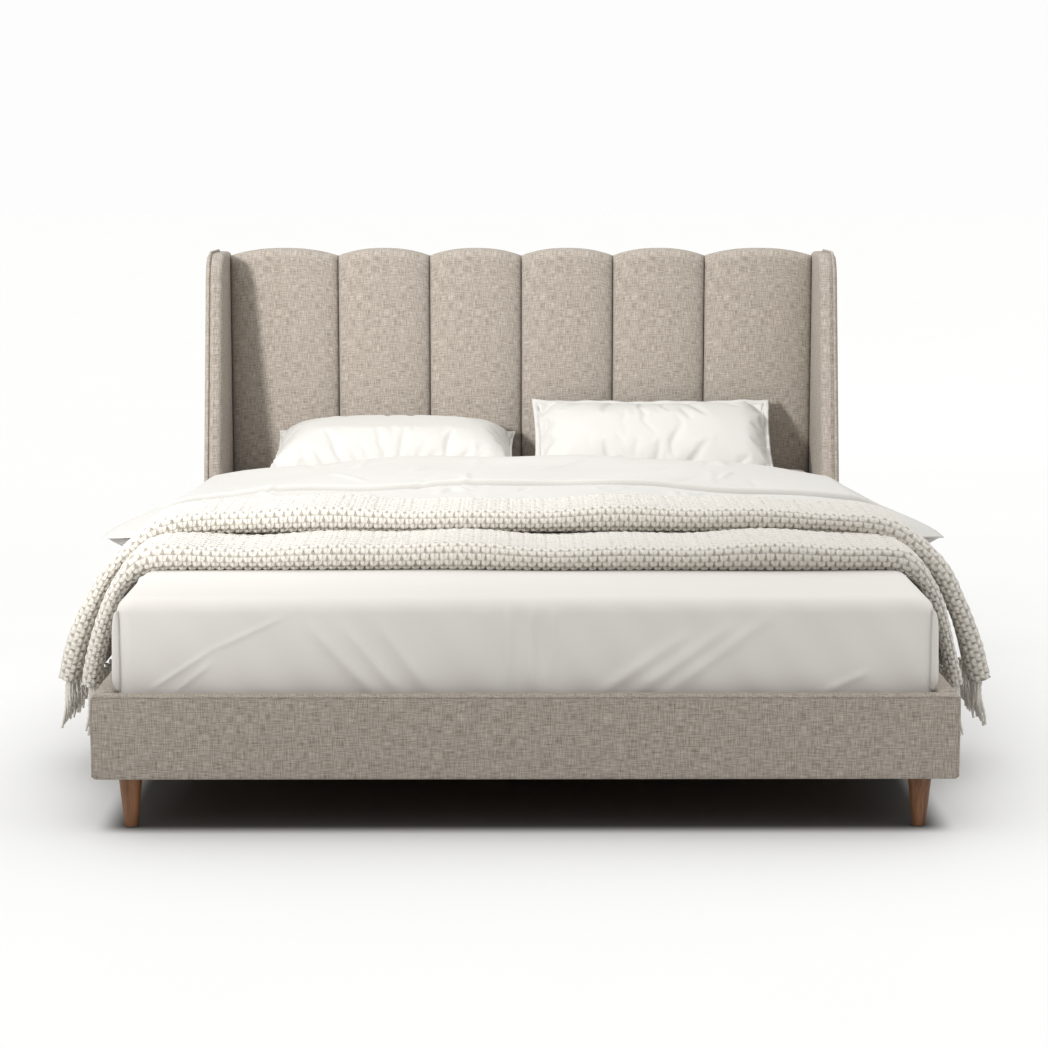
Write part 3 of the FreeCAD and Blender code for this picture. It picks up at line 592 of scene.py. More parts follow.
# %% [markdown]
# ## Headboard
# Six upright channels of foam, each pulled tight into the seams beside it. Across a channel the face is a
# flattened arch that turns down steeply into the seam; at the top it rounds over to the back, and each
# channel ends in a low arch of its own, which makes the scalloped edge. The linen then goes over the top
# and is fastened behind, under the dust cloth.

# %% Headboard channels
CHANNELS = [f"headboard_channel_{k}" for k in range(1, 7)]
TOP_ROUND = 0.026
SCALLOP = 0.020
CROWN = 0.10
BACK_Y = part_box("headboard_back_cloth")[0].y


def channel_surface(node):
    """Channel grid: across, x follows a sine and the depth the same angle's cosine to a small power;
    upwards, the face is straight, turns over the top by a quarter circle and goes down behind."""
    low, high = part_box(node)
    middle, half = (low.x + high.x) / 2, (high.x - low.x) / 2
    depth = high.y - low.y
    angle = np.linspace(-np.pi / 2, np.pi / 2, 41)
    share = np.sign(np.sin(angle)) * np.abs(np.sin(angle)) ** 0.86
    rise = SCALLOP * (1 - np.abs(share) ** 2.3)
    top = high.z - SCALLOP + rise
    plump = np.cos(angle).clip(0) ** 0.42
    crown = 1 - CROWN + CROWN * (1 - share ** 2)
    straight = np.linspace(0, 1, 60)
    turn = np.linspace(0, np.pi / 2, 10)[1:]
    x = middle + half * share
    lower_z = low.z + (top[None] - TOP_ROUND - low.z) * straight[:, None]
    lower_y = high.y - depth * plump * crown + 0 * lower_z
    over_z = top[None] - TOP_ROUND * (1 - np.sin(turn[:, None]))
    over_y = high.y - depth * (plump * crown)[None] * np.cos(turn[:, None]) ** 0.8
    back_y = np.array([high.y + 0.008, BACK_Y - 0.006, BACK_Y + 0.001, BACK_Y + 0.0012])
    drop = np.array([0.0005, 0.002, 0.008, 0.034])
    behind_y = back_y[:, None] + 0 * top[None]
    behind_z = top[None] - drop[:, None]
    y = np.concatenate([lower_y, over_y, behind_y])
    z = np.concatenate([lower_z, over_z, behind_z])
    return np.stack([np.broadcast_to(x, y.shape), y, z], 2)


def headboard_channel(node):
    """One padded channel in linen."""
    piece = build(node + "_linen", [{"points": channel_surface(node)}], GREIGE)
    return finish_piece(piece, "bed_frame", "greige_linen", node)


for channel in CHANNELS:
    headboard_channel(channel)

# %% [markdown]
# ## Wings
# Each wing is a padded board that leans back from the rail to the top. Level by level its section is a
# long rounded bar; the front edge follows the slope and the round corner at the top, and the section grows
# thin over the last centimetre, so the top edge is soft.

# %% Wings
WING_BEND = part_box("foot_rail_cover")[1].z
WING_LEAN = 0.160
WING_CORNER = 0.060
WING_ROUND = 0.018
WING_TOP = 0.062
WING_SOFT = 0.012
WING_PUFF = 0.0016


def wing_front(z, front, top):
    """Where the wing's front edge is at height z: upright to the rail, then a straight slope, and an arc
    of the corner radius at the top."""
    slope = WING_LEAN / (top - WING_BEND)
    y = front + slope * np.clip(z - WING_BEND, 0, None)
    past = np.clip(z - (top - WING_CORNER), 0, WING_CORNER)
    return y + WING_CORNER - np.sqrt(WING_CORNER ** 2 - past ** 2)


def wing_pad(side):
    """The linen pad of one wing, in the box of its plain solid."""
    node = "wing_pad_" + side
    low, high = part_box(node)
    turn = np.linspace(0, np.pi / 2, 14)[1:]
    levels = np.concatenate([[low.z, WING_BEND], np.linspace(WING_BEND, high.z - WING_TOP, 40)[1:],
                             high.z - WING_TOP + WING_TOP * np.sin(turn)])
    last = np.clip((levels - high.z + WING_SOFT) / WING_SOFT, 0, 1)
    edge_less = WING_ROUND * 0.75 * (1 - np.sqrt(1 - last ** 2))
    rings = []
    for z, less in zip(levels, edge_less):
        front = float(wing_front(np.array(z), low.y, high.z))
        half_deep = (high.y - front) / 2
        half_thick = (high.x - low.x) / 2 - less
        ring = round_section(half_thick, half_deep, min(WING_ROUND, half_thick * 0.8), 8, WING_PUFF)
        x = (low.x + high.x) / 2 + ring[:, 0]
        y = (front + high.y) / 2 + ring[:, 1]
        rings.append(np.stack([x, y, np.full(len(ring), z)], 1))
    piece = build(node + "_linen", [closed(np.array(rings))], GREIGE)
    return finish_piece(piece, "bed_frame", "greige_linen", node)


for side_name in ("left", "right"):
    wing_pad(side_name)

# %% [markdown]
# The welt is a cord wrapped in the same linen and sewn into the seam along the wing's outer edge. It is a
# round tube that follows the slope, the round corner and the top of the wing.

# %% Wing welts
def tube(path, radius, around=10):
    """A tube along a path: at each point a circle square to the path's direction, in a frame that keeps
    one side level."""
    path = np.asarray(path, float)
    along = np.gradient(path, axis=0)
    along /= np.linalg.norm(along, axis=1)[:, None]
    side = np.cross(along, np.array([1.0, 0.02, 0.03]))
    side /= np.linalg.norm(side, axis=1)[:, None]
    other = np.cross(along, side)
    turn = np.linspace(0, 2 * np.pi, around, endpoint=False)
    thick = np.broadcast_to(np.asarray(radius, float).reshape(-1, 1, 1), (len(path), 1, 1))
    ring = side[:, None] * np.cos(turn)[None, :, None] + other[:, None] * np.sin(turn)[None, :, None]
    return path[:, None] + ring * thick


WELT_RADIUS = 0.004
WELT_SUNK = WELT_RADIUS * 0.4


def wing_welt(side):
    """The welt of one wing: its path is the wing's own front line, set forward by less than the welt's
    radius, so that the welt stays half sunk in the pad."""
    pad_low, pad_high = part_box("wing_pad_" + side)
    low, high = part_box("wing_welt_" + side)
    turn = np.linspace(0, np.pi / 2, 12)[1:]
    z = np.concatenate([np.linspace(low.z, pad_high.z - WING_CORNER, 24),
                        pad_high.z - WING_CORNER + WING_CORNER * np.sin(turn)])
    y = wing_front(z, pad_low.y, pad_high.z) - WELT_SUNK
    z = z + WELT_SUNK * smooth((z - pad_high.z + WING_CORNER) / WING_CORNER)
    back = np.linspace(y[-1], high.y, 12)[1:]
    path = np.stack([np.full(len(z) + len(back), (low.x + high.x) / 2), np.concatenate([y, back]),
                     np.concatenate([z, np.full(len(back), z[-1])])], 1)
    name = "wing_welt_" + side
    piece = build(name + "_linen", [closed(tube(path, WELT_RADIUS))], GREIGE)
    return finish_piece(piece, "bed_frame", "greige_linen", name)


for side_name in ("left", "right"):
    wing_welt(side_name)

# %% [markdown]
# Where the foot rail's cover turns the corner, its two panels meet in a thin upright piping, and a second one
# runs along the outer top edge.

# %% Foot rail piping
PIPING_RADIUS = 0.0022
PIPING_INSET = 0.0021
PIPING_SUNK = 0.0004
PIPING_START = 0.006


def foot_piping():
    """Piping up both front corners of the foot rail and along the front of its top edge, as one run."""
    low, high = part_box("foot_rail_cover")
    y = low.y + PIPING_INSET
    right, top = high.x - PIPING_INSET - PIPING_SUNK, high.z - PIPING_INSET - PIPING_SUNK
    bend = RAIL_ROUND * (1 - np.cos(np.linspace(0, np.pi / 2, 8)))
    up = np.linspace(low.z + PIPING_START, top - RAIL_ROUND, 20)
    side = np.stack([np.full(20, right), up], 1)
    corner = np.stack([right - bend, top - bend[::-1]], 1)[1:]
    across = np.stack([np.linspace(right - RAIL_ROUND, 0, 60), np.full(60, top)], 1)[1:]
    half = np.concatenate([side, corner, across])
    whole = np.concatenate([half, half[-2::-1] * [-1, 1]])
    path = np.stack([whole[:, 0], np.full(len(whole), y), whole[:, 1]], 1)
    piece = build("foot_rail_piping", [closed(tube(path, PIPING_RADIUS))], GREIGE)
    return finish_piece(piece, "bed_frame", "greige_linen")


foot_piping()

# %% [markdown]
# ## Cotton
# The sheet, the duvet cover and the pillow cases are one white cotton percale. It is almost one colour, so
# its finish lives from very fine threads, a faint cloudiness and a soft sheen. The duvet's hem is drawn by
# the seam attribute as a grey line of painted shade, and the puffed pieces take a darker copy of the cotton,
# painted shade against the stronger light on them, so that their creases show.

# %% Cotton finish
def cotton(name, light, dark):
    """White cotton: fine grain in the relief, a faint cloud in the colour, and a grey line of painted shade
    where the seam attribute is 1."""
    f = Finish(name, {"Roughness": 0.8, "Specular IOR Level": 0.25, "Sheen Weight": 0.1,
                      "Sheen Roughness": 0.5})
    place = f.object_place()
    cloud = f.noise(place, (3, 3, 3), 3.0)
    grain = f.noise(place, (900, 900, 900), 1.0)
    seam = f.node("Attribute", {"attribute_name": "seam"}, out="Fac")
    # painted shade: grey where the seam attribute marks the foot of the duvet's hem fold
    f.colour(f.mix(seam * 0.75, f.mix(cloud * 0.75 + grain * 0.25, dark, light), shade(150, 147, 142)))
    f.rough(0.74 + cloud * 0.12)
    f.relief(grain, 0.0003, 0.25)
    return f.material


COTTON = cotton("white_cotton", shade(215, 211, 206), shade(208, 204, 198))
# a darker copy of the same cotton for the duvet and the pillows: painted shade against the stronger light on
# them
SHADED_COTTON = cotton("white_cotton_shaded", shade(199, 197, 193), shade(191, 189, 184))

# %% [markdown]
# ## Mattress and fitted sheet
# The mattress is a quilted block, seen only from below through the slats. The sheet goes over it like a
# lid: rings round the mattress climb its sides, turn over the shoulder and close in over the top. Where
# the cloth is pulled to the corners it makes creases; each one is a line on the front face with a soft
# ridge across it. At both front corners the spare cloth stands off as a folded flap.

# %% Mattress
STRIPE = 0.022
QUILT = 0.11
MATTRESS_CORNER = 0.03
MATTRESS_SHOULDER = 0.028


def ticking():
    """Mattress ticking: woven stripes in two off whites with a quilting relief."""
    f = Finish("mattress_ticking", {"Roughness": 0.85, "Specular IOR Level": 0.2})
    place = f.object_place()
    x, y = f.split(place)[:2]
    stripe = (x * (2 * math.pi / STRIPE)).wave().step(-0.2, 0.6)
    quilt = (x * (math.pi / QUILT)).wave() * (y * (math.pi / QUILT)).wave()
    f.colour(f.mix(stripe, shade(222, 220, 214), shade(232, 231, 227)))
    f.relief(quilt * 0.5 + 0.5, 0.004, 0.6)
    return f.material


def slab(low, high, corner, shoulder):
    """A slab with round corners in plan and a quarter-circle shoulder top and bottom."""
    low, high = np.array(low, float), np.array(high, float)
    centre, half = (low + high) / 2, (high - low) / 2
    turn = np.linspace(0, np.pi / 2, 8)
    less = shoulder * (1 - np.sin(turn))
    rise = shoulder * (1 - np.cos(turn))
    z = np.concatenate([low[2] + rise, high[2] - rise[::-1]])
    inset = np.concatenate([less, less[::-1]])
    rings = []
    for here, s in zip(z, inset):
        ring = round_section(half[0] - s, half[1] - s, max(corner - s, 0.004), 8)
        rings.append(np.stack([centre[0] + ring[:, 0], centre[1] + ring[:, 1], np.full(len(ring), here)], 1))
    return np.array(rings)


def mattress():
    """The quilted mattress under the sheet."""
    points = slab(*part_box("mattress"), MATTRESS_CORNER, MATTRESS_SHOULDER)
    piece = build("mattress_quilted", [closed(points)], ticking())
    return finish_piece(piece, "mattress", "mattress_ticking", "mattress")


mattress()

# %% Creases
def ridge(a, b, start, end, width, height):
    """Height of one crease over the plane of a and b: a bell across the line from start to end, fading
    towards both ends."""
    ax, bx = end[0] - start[0], end[1] - start[1]
    length = math.hypot(ax, bx)
    along = ((a - start[0]) * ax + (b - start[1]) * bx) / length
    across = ((a - start[0]) * bx - (b - start[1]) * ax) / length
    start_fade = smooth((along + 0.15 * length) / (0.45 * length))
    end_fade = smooth((1.15 * length - along) / (0.45 * length))
    return height * (start_fade * end_fade) * np.exp(-(across / width) ** 2)


# start and end on the front face (across, up), half width and height of each crease, in metres
FRONT_CREASES = (
    ((-0.700, 0.268), (-0.580, 0.346), 0.0040, 0.0030),
    ((-0.585, 0.342), (-0.450, 0.405), 0.0045, 0.0028),
    ((-0.656, 0.262), (-0.585, 0.318), 0.0050, 0.0025),
    ((-0.405, 0.392), (-0.285, 0.262), 0.0120, 0.0060),
    ((-0.335, 0.385), (-0.235, 0.262), 0.0110, 0.0058),
    ((-0.280, 0.400), (-0.185, 0.270), 0.0120, 0.0052),
    ((-0.030, 0.440), (-0.034, 0.275), 0.0075, 0.0045),
    ((0.012, 0.440), (0.010, 0.270), 0.0080, 0.0050),
    ((0.052, 0.430), (0.048, 0.290), 0.0090, 0.0035),
    ((-0.085, 0.430), (-0.080, 0.300), 0.0120, 0.0025),
    ((0.300, 0.370), (0.140, 0.262), 0.0120, 0.0055),
    ((0.385, 0.390), (0.205, 0.262), 0.0130, 0.0062),
    ((0.455, 0.405), (0.265, 0.264), 0.0120, 0.0050),
    ((0.640, 0.300), (0.560, 0.264), 0.0080, 0.0030),
)
SHEET_CORNER = 0.032
SHEET_SHOULDER = 0.030
SHEET_START = 0.02
SHEET_REACH = 0.25
PINCH = 0.0035


def sheet_rings():
    """Rings of the sheet: up the sides, over the shoulder, and in over the top to a narrow last ring,
    which build then closes."""
    low, high = (np.array(c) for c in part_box("fitted_sheet"))
    centre, half = (low + high) / 2, (high - low) / 2
    up = np.linspace(low[2] + SHEET_START, high[2] - SHEET_SHOULDER, 46)
    turn = np.linspace(0, np.pi / 2, 12)[1:]
    over = high[2] - SHEET_SHOULDER * (1 - np.sin(turn))
    less_over = SHEET_SHOULDER * (1 - np.cos(turn))
    inwards = SHEET_SHOULDER + (half[0] - 0.012 - SHEET_SHOULDER) * np.linspace(0, 1, 40)[1:] ** 1.3
    z = np.concatenate([up, over, np.full(len(inwards), high[2])])
    less = np.concatenate([np.zeros(len(up)), less_over, inwards])
    rings = []
    for s in less:
        a, b, r = half[0] - s, half[1] - s, max(SHEET_CORNER - s * 0.6, 0.006)
        rings.append(sheet_ring(centre, a, b, min(r, a * 0.9)))
    rings = np.array(rings)
    points = np.concatenate([rings, np.broadcast_to(z[:, None, None], rings.shape[:2] + (1,))], 2)
    return points, centre, half, high


def sheet_ring(centre, a, b, r):
    """One ring in plan with many points on the front and back edges, where the creases are."""
    turn = np.linspace(0, np.pi / 2, 9)
    arcs = []
    for k, (sx, sy) in enumerate(((1, 1), (-1, 1), (-1, -1), (1, -1))):
        angle = turn + k * np.pi / 2
        arcs.append(np.stack([sx * (a - r) + r * np.cos(angle), sy * (b - r) + r * np.sin(angle)], 1))
    out = []
    for k, count in enumerate((40, 60, 360, 60)):
        here, there = arcs[k], arcs[(k + 1) % 4]
        out.append(here)
        share = np.linspace(0, 1, count + 2)[1:-1, None]
        out.append(here[-1] * (1 - share) + there[0] * share)
    return np.concatenate(out) + centre[:2]


def corner_flap(side, high, half, centre):
    """The folded flap of spare cloth at a front corner: a thin upright fold that leans off the corner and
    runs out to a small triangle at the rail."""
    z = np.concatenate([np.linspace(0.262, 0.290, 6), np.linspace(0.300, high[2] - 0.024, 26)])
    share = (z - z[0]) / (z[-1] - z[0])
    reach = 0.0125 * np.sin(np.pi * np.clip(share * 0.86 + 0.14, 0, 1)) ** 0.35 + 0.0015
    reach = reach * (1 + 0.05 * np.sin(9 * share)) - 0.004 * smooth((0.12 - share) / 0.12)
    lean = 0.002 * np.sin(np.pi * share) + 0.004 * smooth((0.15 - share) / 0.15)
    turn = np.linspace(0, 2 * np.pi, 14, endpoint=False)
    x = half[0] + 0.001 + reach[:, None] * (0.5 + 0.5 * np.cos(turn)) - 0.006
    bulge = 0.0042 * np.sin(turn)[None] * (0.7 + 0.3 * np.cos(turn))[None]
    y = centre[1] - half[1] + 0.006 + lean[:, None] + bulge
    points = np.stack([side * x + centre[0], y, np.broadcast_to(z[:, None], x.shape)], 2)
    return closed(points) | {"turned": side < 0}


def fitted_sheet():
    """The sheet over the mattress, with its creases and both corner flaps."""
    points, centre, half, high = sheet_rings()
    x, y, z = points[..., 0], points[..., 1], points[..., 2]
    front = smooth((centre[1] - half[1] + 0.05 - y) / 0.04)
    height = sum(ridge(x, z, *crease) for crease in FRONT_CREASES)
    wave = 0.0012 * np.sin(x * 23 + 1.0) * np.sin(z * 31) + 0.0010 * np.sin(x * 61 + z * 44)
    lift = front * (height + wave) * smooth((high[2] + 0.01 - z) / 0.05)
    over = (z > high[2] - 0.001) * 0.0012 * np.sin(x * 17 + 0.4) * np.sin(y * 13)
    points[..., 1] = y - lift
    points[..., 2] = z + over
    pinch = PINCH * np.exp(-((z - high[2] + 0.02) / 0.02) ** 2)
    corner = np.exp(-(((np.abs(x) - half[0]) / 0.02) ** 2 + ((y - centre[1] + half[1]) / 0.02) ** 2))
    points[..., 0] += np.sign(x) * pinch * corner
    points[..., 1] -= pinch * corner
    parts = [{"points": points, "around": True, "caps": "last"}]
    parts += [corner_flap(side, high, half, centre) for side in (-1, 1)]
    piece = build("fitted_sheet_cotton", parts, COTTON)
    wide, long = 2 * (half[0] + SHEET_REACH), 2 * (half[1] + SHEET_REACH)
    wide * long - 4 * SHEET_REACH * SHEET_REACH
    return finish_piece(piece, "mattress", "white_cotton", "fitted_sheet")


fitted_sheet()

# %% [markdown]
# ## Duvet
# The duvet is drawn back towards the pillows and folded over, so its lower edge shows as a fine hem line,
# a small step with a line of painted grey shade at its foot.
# Section by section it is a closed outline: a low dome over the mattress, soft flaps that run past both
# edges to a thin tip, and a flat underside. Creases lie over it in seeded places, and a roll lifts its back
# edge below the pillows.

# %% Duvet
DUVET_TIP_FRONT = 0.913
DUVET_TIP_BACK = 0.811
DUVET_TIP_TALL = 0.438
DUVET_EDGE = 0.027
DUVET_DOME = 0.036
DUVET_ROLL = 0.014
DUVET_ROUND = 0.02
DUVET_HEM = 0.232
HEM_STEP = 0.012
HEM_GROOVE = 0.0075
HEM_SHADE_WIDTH = 0.006


def duvet_half(y, front, back):
    """Half width of the duvet at y: widest a little behind its front edge, narrower at the pillows."""
    share = np.clip((y - front) / (back - front), 0, 1)
    return DUVET_TIP_FRONT + (DUVET_TIP_BACK - DUVET_TIP_FRONT) * smooth((share - 0.08) / 0.92) ** 0.9


def random_creases(seed, count, middle, spread, lean, width, height, length):
    """Seeded creases: (start, end, half width, height) about the middle, leaning about one angle."""
    rng = np.random.default_rng(seed)
    out = []
    for _ in range(count):
        x, y = np.array(middle) + np.array(spread) * rng.uniform(-1, 1, 2)
        angle = lean + rng.normal(0, 0.45)
        long = length * rng.uniform(0.5, 1.4)
        step = np.array([math.cos(angle), math.sin(angle)]) * long / 2
        out.append(((x - step[0], y - step[1]), (x + step[0], y + step[1]),
                    width * rng.uniform(0.6, 1.5), height * rng.uniform(-0.6, 1.0)))
    return out


# start and end on the duvet's top (across, along), half width and height of each crease, in metres
CORNER_CREASES = [
    ((0.86, -0.18), (0.70, 0.06), 0.013, 0.009),
    ((0.80, -0.20), (0.66, -0.02), 0.010, -0.006),
    ((-0.84, -0.16), (-0.70, 0.08), 0.013, 0.008),
    ((0.74, -0.22), (0.56, 0.02), 0.011, 0.006),
]


def duvet_creases():
    """Long creases all over, short ones in front of the hem, and those that run out to the front corners."""
    long_ones = random_creases(11, 46, (0.0, 0.24), (0.80, 0.40), lean=1.35, width=0.011, height=0.0055,
                               length=0.15)
    short_ones = random_creases(5, 26, (0.0, 0.14), (0.62, 0.05), lean=1.5, width=0.008, height=0.0065,
                                length=0.09)
    return long_ones + short_ones + CORNER_CREASES


def duvet():
    """The duvet as closed sections from its front edge to its back edge."""
    low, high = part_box("duvet")
    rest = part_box("fitted_sheet")[1].z + 0.0008
    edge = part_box("mattress")[1].x
    turn = np.linspace(0, np.pi / 2, 7)
    y = np.concatenate([low.y + DUVET_ROUND * (1 - np.cos(turn)),
                        np.linspace(low.y + 0.024, DUVET_HEM - 0.012, 52),
                        np.linspace(DUVET_HEM - 0.010, DUVET_HEM + 0.026, 18),
                        np.linspace(DUVET_HEM + 0.032, high.y - 0.024, 66),
                        high.y - DUVET_ROUND * (1 - np.cos(turn[::-1]))])
    half = duvet_half(y, low.y, high.y)[:, None]
    even = np.linspace(-1, 1, 261)[None]
    x = (np.sin(np.linspace(-np.pi / 2, np.pi / 2, 261))[None] * 0.35 + even * 0.65) * half
    beyond = np.clip((np.abs(x) - edge) / (half - edge), 0, 1)
    roll = DUVET_ROLL * np.exp(-((y - high.y + 0.055) / 0.07) ** 2)[:, None]
    dome = rest + DUVET_EDGE + (DUVET_DOME + roll) * (1 - np.clip(np.abs(x) / edge, 0, 1) ** 2.4)
    tip = DUVET_TIP_TALL - rest
    top = np.where(np.abs(x) < edge, dome, rest + DUVET_EDGE + (tip - DUVET_EDGE) * beyond ** 1.6)
    thin_front = smooth((y - low.y + 0.004) / 0.05)[:, None]
    thin_back = smooth((high.y + 0.004 - y) / 0.04)[:, None]
    body = top - rest
    top = rest + np.where(body > 0, body * thin_front * (0.25 + 0.75 * thin_back), body)
    hem = DUVET_HEM + 0.004 * np.sin(x * 9 + 1) + 0.003 * np.sin(x * 23)
    step_up = HEM_STEP * smooth((y[:, None] - hem) / 0.007) - HEM_STEP
    seam = -HEM_GROOVE * np.exp(-((y[:, None] - hem + 0.002) / 0.0055) ** 2)
    grid_y = np.broadcast_to(y[:, None], x.shape)
    height = sum(ridge(x, grid_y, *crease) for crease in duvet_creases())
    billow = 0.0045 * np.sin(x * 7.5 + 0.6) * np.sin(grid_y * 9 + 0.5) + 0.003 * np.sin(x * 15 - grid_y * 11)
    inside = thin_front * thin_back * (1 - beyond ** 4)
    top = top + (step_up * (1 - 0.6 * beyond) + seam + height + billow) * inside
    back_x = x[:, ::-4][:, 1:-1]
    back_beyond = np.clip((np.abs(back_x) - edge) / (half - edge), 0, 1)
    belly = 0.034 * np.sin(np.pi * back_beyond) ** 0.9 * thin_front * thin_back
    under = rest + np.where(back_beyond > 0, (tip - 0.004) * back_beyond - belly + 0.002, 0.0)
    under_y = np.broadcast_to(y[:, None], back_x.shape)
    points = np.concatenate([np.stack([x, grid_y, top], 2), np.stack([back_x, under_y, under], 2)], 1)
    piece = build("duvet_cotton", [closed(points)], SHADED_COTTON)
    # painted shade line along the foot of the hem's step, kept as the seam attribute
    line = np.exp(-((y[:, None] - hem + 0.002) / HEM_SHADE_WIDTH) ** 2) * inside
    hem_painted_shade = np.concatenate([line, np.zeros(back_x.shape)], 1).ravel()
    point_values(piece, "seam", np.append(hem_painted_shade, [0, 0]))
    return piece


duvet_piece = duvet()
finish_piece(duvet_piece, "duvet", "white_cotton", "duvet")

# %% [markdown]
# ## Throw
# A thick hand-knitted wool throw lies folded in two bands across the bed and hangs over both sides. Each
# band is a folded cloth: its section is a loop that goes round the fold and comes back inside, a cloth's
# thickness away, and the section is carried along a path over the mattress and down its sides. The knitting
# has two levels: staggered lumps in brick order are raised from the outer skin of the mesh, and the finish
# draws the two legs of every stitch over them.

# %% Wool finish
STITCH_WIDE = 0.0185
STITCH_TALL = 0.0125


def wool(name, knitted):
    """Cream wool with a faint mottle from the fibre noise, and painted shade, darker and warmer, between the
    stitches. Every stitch is a V of two plump legs, worked out from the cloth place in brick order, and the
    raised attribute adds the painted shade of the relief below."""
    f = Finish(name, {"Roughness": 0.95, "Specular IOR Level": 0.1, "Sheen Weight": 0.2,
                      "Sheen Roughness": 0.7})
    place = f.object_place()
    raised = f.node("Attribute", {"attribute_name": "raised"}, out="Fac")
    fibre = f.noise(place, (700, 700, 700), 2.0, 0.7)
    yarn = f.noise(place, (90, 90, 90), 1.0)
    height = raised
    if knitted:
        t, s = f.split(f.cloth_place())[:2]
        rows = t / STITCH_TALL + (yarn - 0.5) * 0.35
        row = rows.whole()
        b = rows - row - 0.5
        stitch = s / STITCH_WIDE + row * 0.5 + (yarn - 0.5) * 0.30
        a = (stitch - stitch.whole() - 0.5).size()
        leg = (a - 0.18 - b * 0.20) / 0.27
        plump = (1 - leg * leg).above(0) ** 0.6
        ends = (1 - (b * 2).size() ** 4).above(0)
        height = plump * (ends * 0.45 + 0.55) * 0.75 + raised * 0.25
    # painted shade: the colour darkens and warms where the stitch relief is low; the fibre noise is a real
    # mottle
    depth = (height * 0.9 + (fibre - 0.5) * 0.35).step(-0.1, 0.62)
    f.colour(f.mix(depth, shade(150, 141, 124), shade(213, 208, 199)))
    f.relief(height + fibre * 0.15, 0.006, 0.8)
    return f.material


WOOL = wool("cream_wool", knitted=True)
YARN = wool("cream_yarn", knitted=False)

# %% Stitches and the path of a band
STITCH_RISE = 0.0060
STITCH_SUNK = 0.002
CLOTH_THICK = 0.015
HEM_RATIO = 4
UNDER_FOLD = 0.03
BAND_BEND = 0.74
BAND_HANG = 0.60
BAND_STATIONS = 640
BAND_FINE = 0.300
BAND_FINE_STEP = 0.0028


def moss(s, t):
    """Relief of moss stitch between 0 and 1 at s along the rows and t across them, in metres: one plump lump
    for each stitch, and every second row is shifted by half a stitch."""
    row = np.floor(t / STITCH_TALL)
    a = s / STITCH_WIDE + 0.5 * row
    wander = 0.12 * np.sin(row * 2.3 + np.floor(a) * 1.7)
    a = a - np.floor(a) - 0.5
    b = t / STITCH_TALL - row - 0.5
    plump = (1 - (2 * np.abs(a)) ** 2.6).clip(0) ** 0.6
    ends = (1 - (2 * np.abs(b)) ** 3).clip(0) ** 0.6
    return plump * (0.35 + 0.65 * ends) * (0.88 + wander)


def side_path(points, steps):
    """A smooth path over the bed: the given right-hand points (x, z) from the middle to the hem, mirrored,
    as a chain with even steps and the way across it."""
    right = np.array(points, float)
    dense = []
    count = len(right)
    padded = np.concatenate([[2 * right[0] - right[1]], right, [2 * right[-1] - right[-2]]])
    u = np.linspace(0, 1, 24, endpoint=False)[:, None]
    for k in range(count - 1):
        a, b, c, d = padded[k:k + 4]
        dense.append(0.5 * (2 * b + (c - a) * u + (2 * a - 5 * b + 4 * c - d) * u ** 2
                            + (3 * b - a - 3 * c + d) * u ** 3))
    dense.append(right[-1:])
    half = np.concatenate(dense)
    whole = np.concatenate([half[::-1] * [-1, 1], half[1:]])
    length = np.concatenate([[0], np.cumsum(np.linalg.norm(np.diff(whole, axis=0), axis=1))])
    even = np.linspace(0, length[-1], steps)
    path = np.stack([np.interp(even, length, whole[:, k]) for k in range(2)], 1)
    along = np.gradient(path, axis=0)
    along /= np.linalg.norm(along, axis=1)[:, None]
    across = np.stack([-along[:, 1], along[:, 0]], 1)
    return path, across, even


def fold_section(wide, tall, steps_rest):
    """Outer loop of a folded band as (y, h, outward y, outward h, running length): it starts under the
    front fold, goes round it, back over the top, and round the rear fold. Fine steps reach to BAND_FINE,
    and their number is raised until the whole count suits HEM_RATIO."""
    r = tall / 2
    under = UNDER_FOLD
    total = under + math.pi * r + (wide - 2 * r) + math.pi * r * 0.5
    steps_fine = int(BAND_FINE / BAND_FINE_STEP)
    steps_fine += -(steps_fine - 1 + steps_rest) % HEM_RATIO
    s = np.concatenate([np.linspace(0, BAND_FINE, steps_fine),
                        np.linspace(BAND_FINE, total, steps_rest + 1)[1:]])
    turn = np.clip((s - under) / r, 0, math.pi)
    rear = np.clip((s - under - math.pi * r - (wide - 2 * r)) / r, 0, math.pi / 2)
    flat = np.clip(s - under - math.pi * r, 0, wide - 2 * r)
    lead = np.clip(under - s, 0, None)
    y = r + lead - r * np.sin(turn) + flat + r * np.sin(rear)
    h = r - r * np.cos(turn) - r * (1 - np.cos(rear))
    out_y = -np.sin(turn) + np.sin(rear)
    out_h = np.where(s < under + math.pi * r, -np.cos(turn), np.cos(rear))
    return y, h, out_y, out_h, s


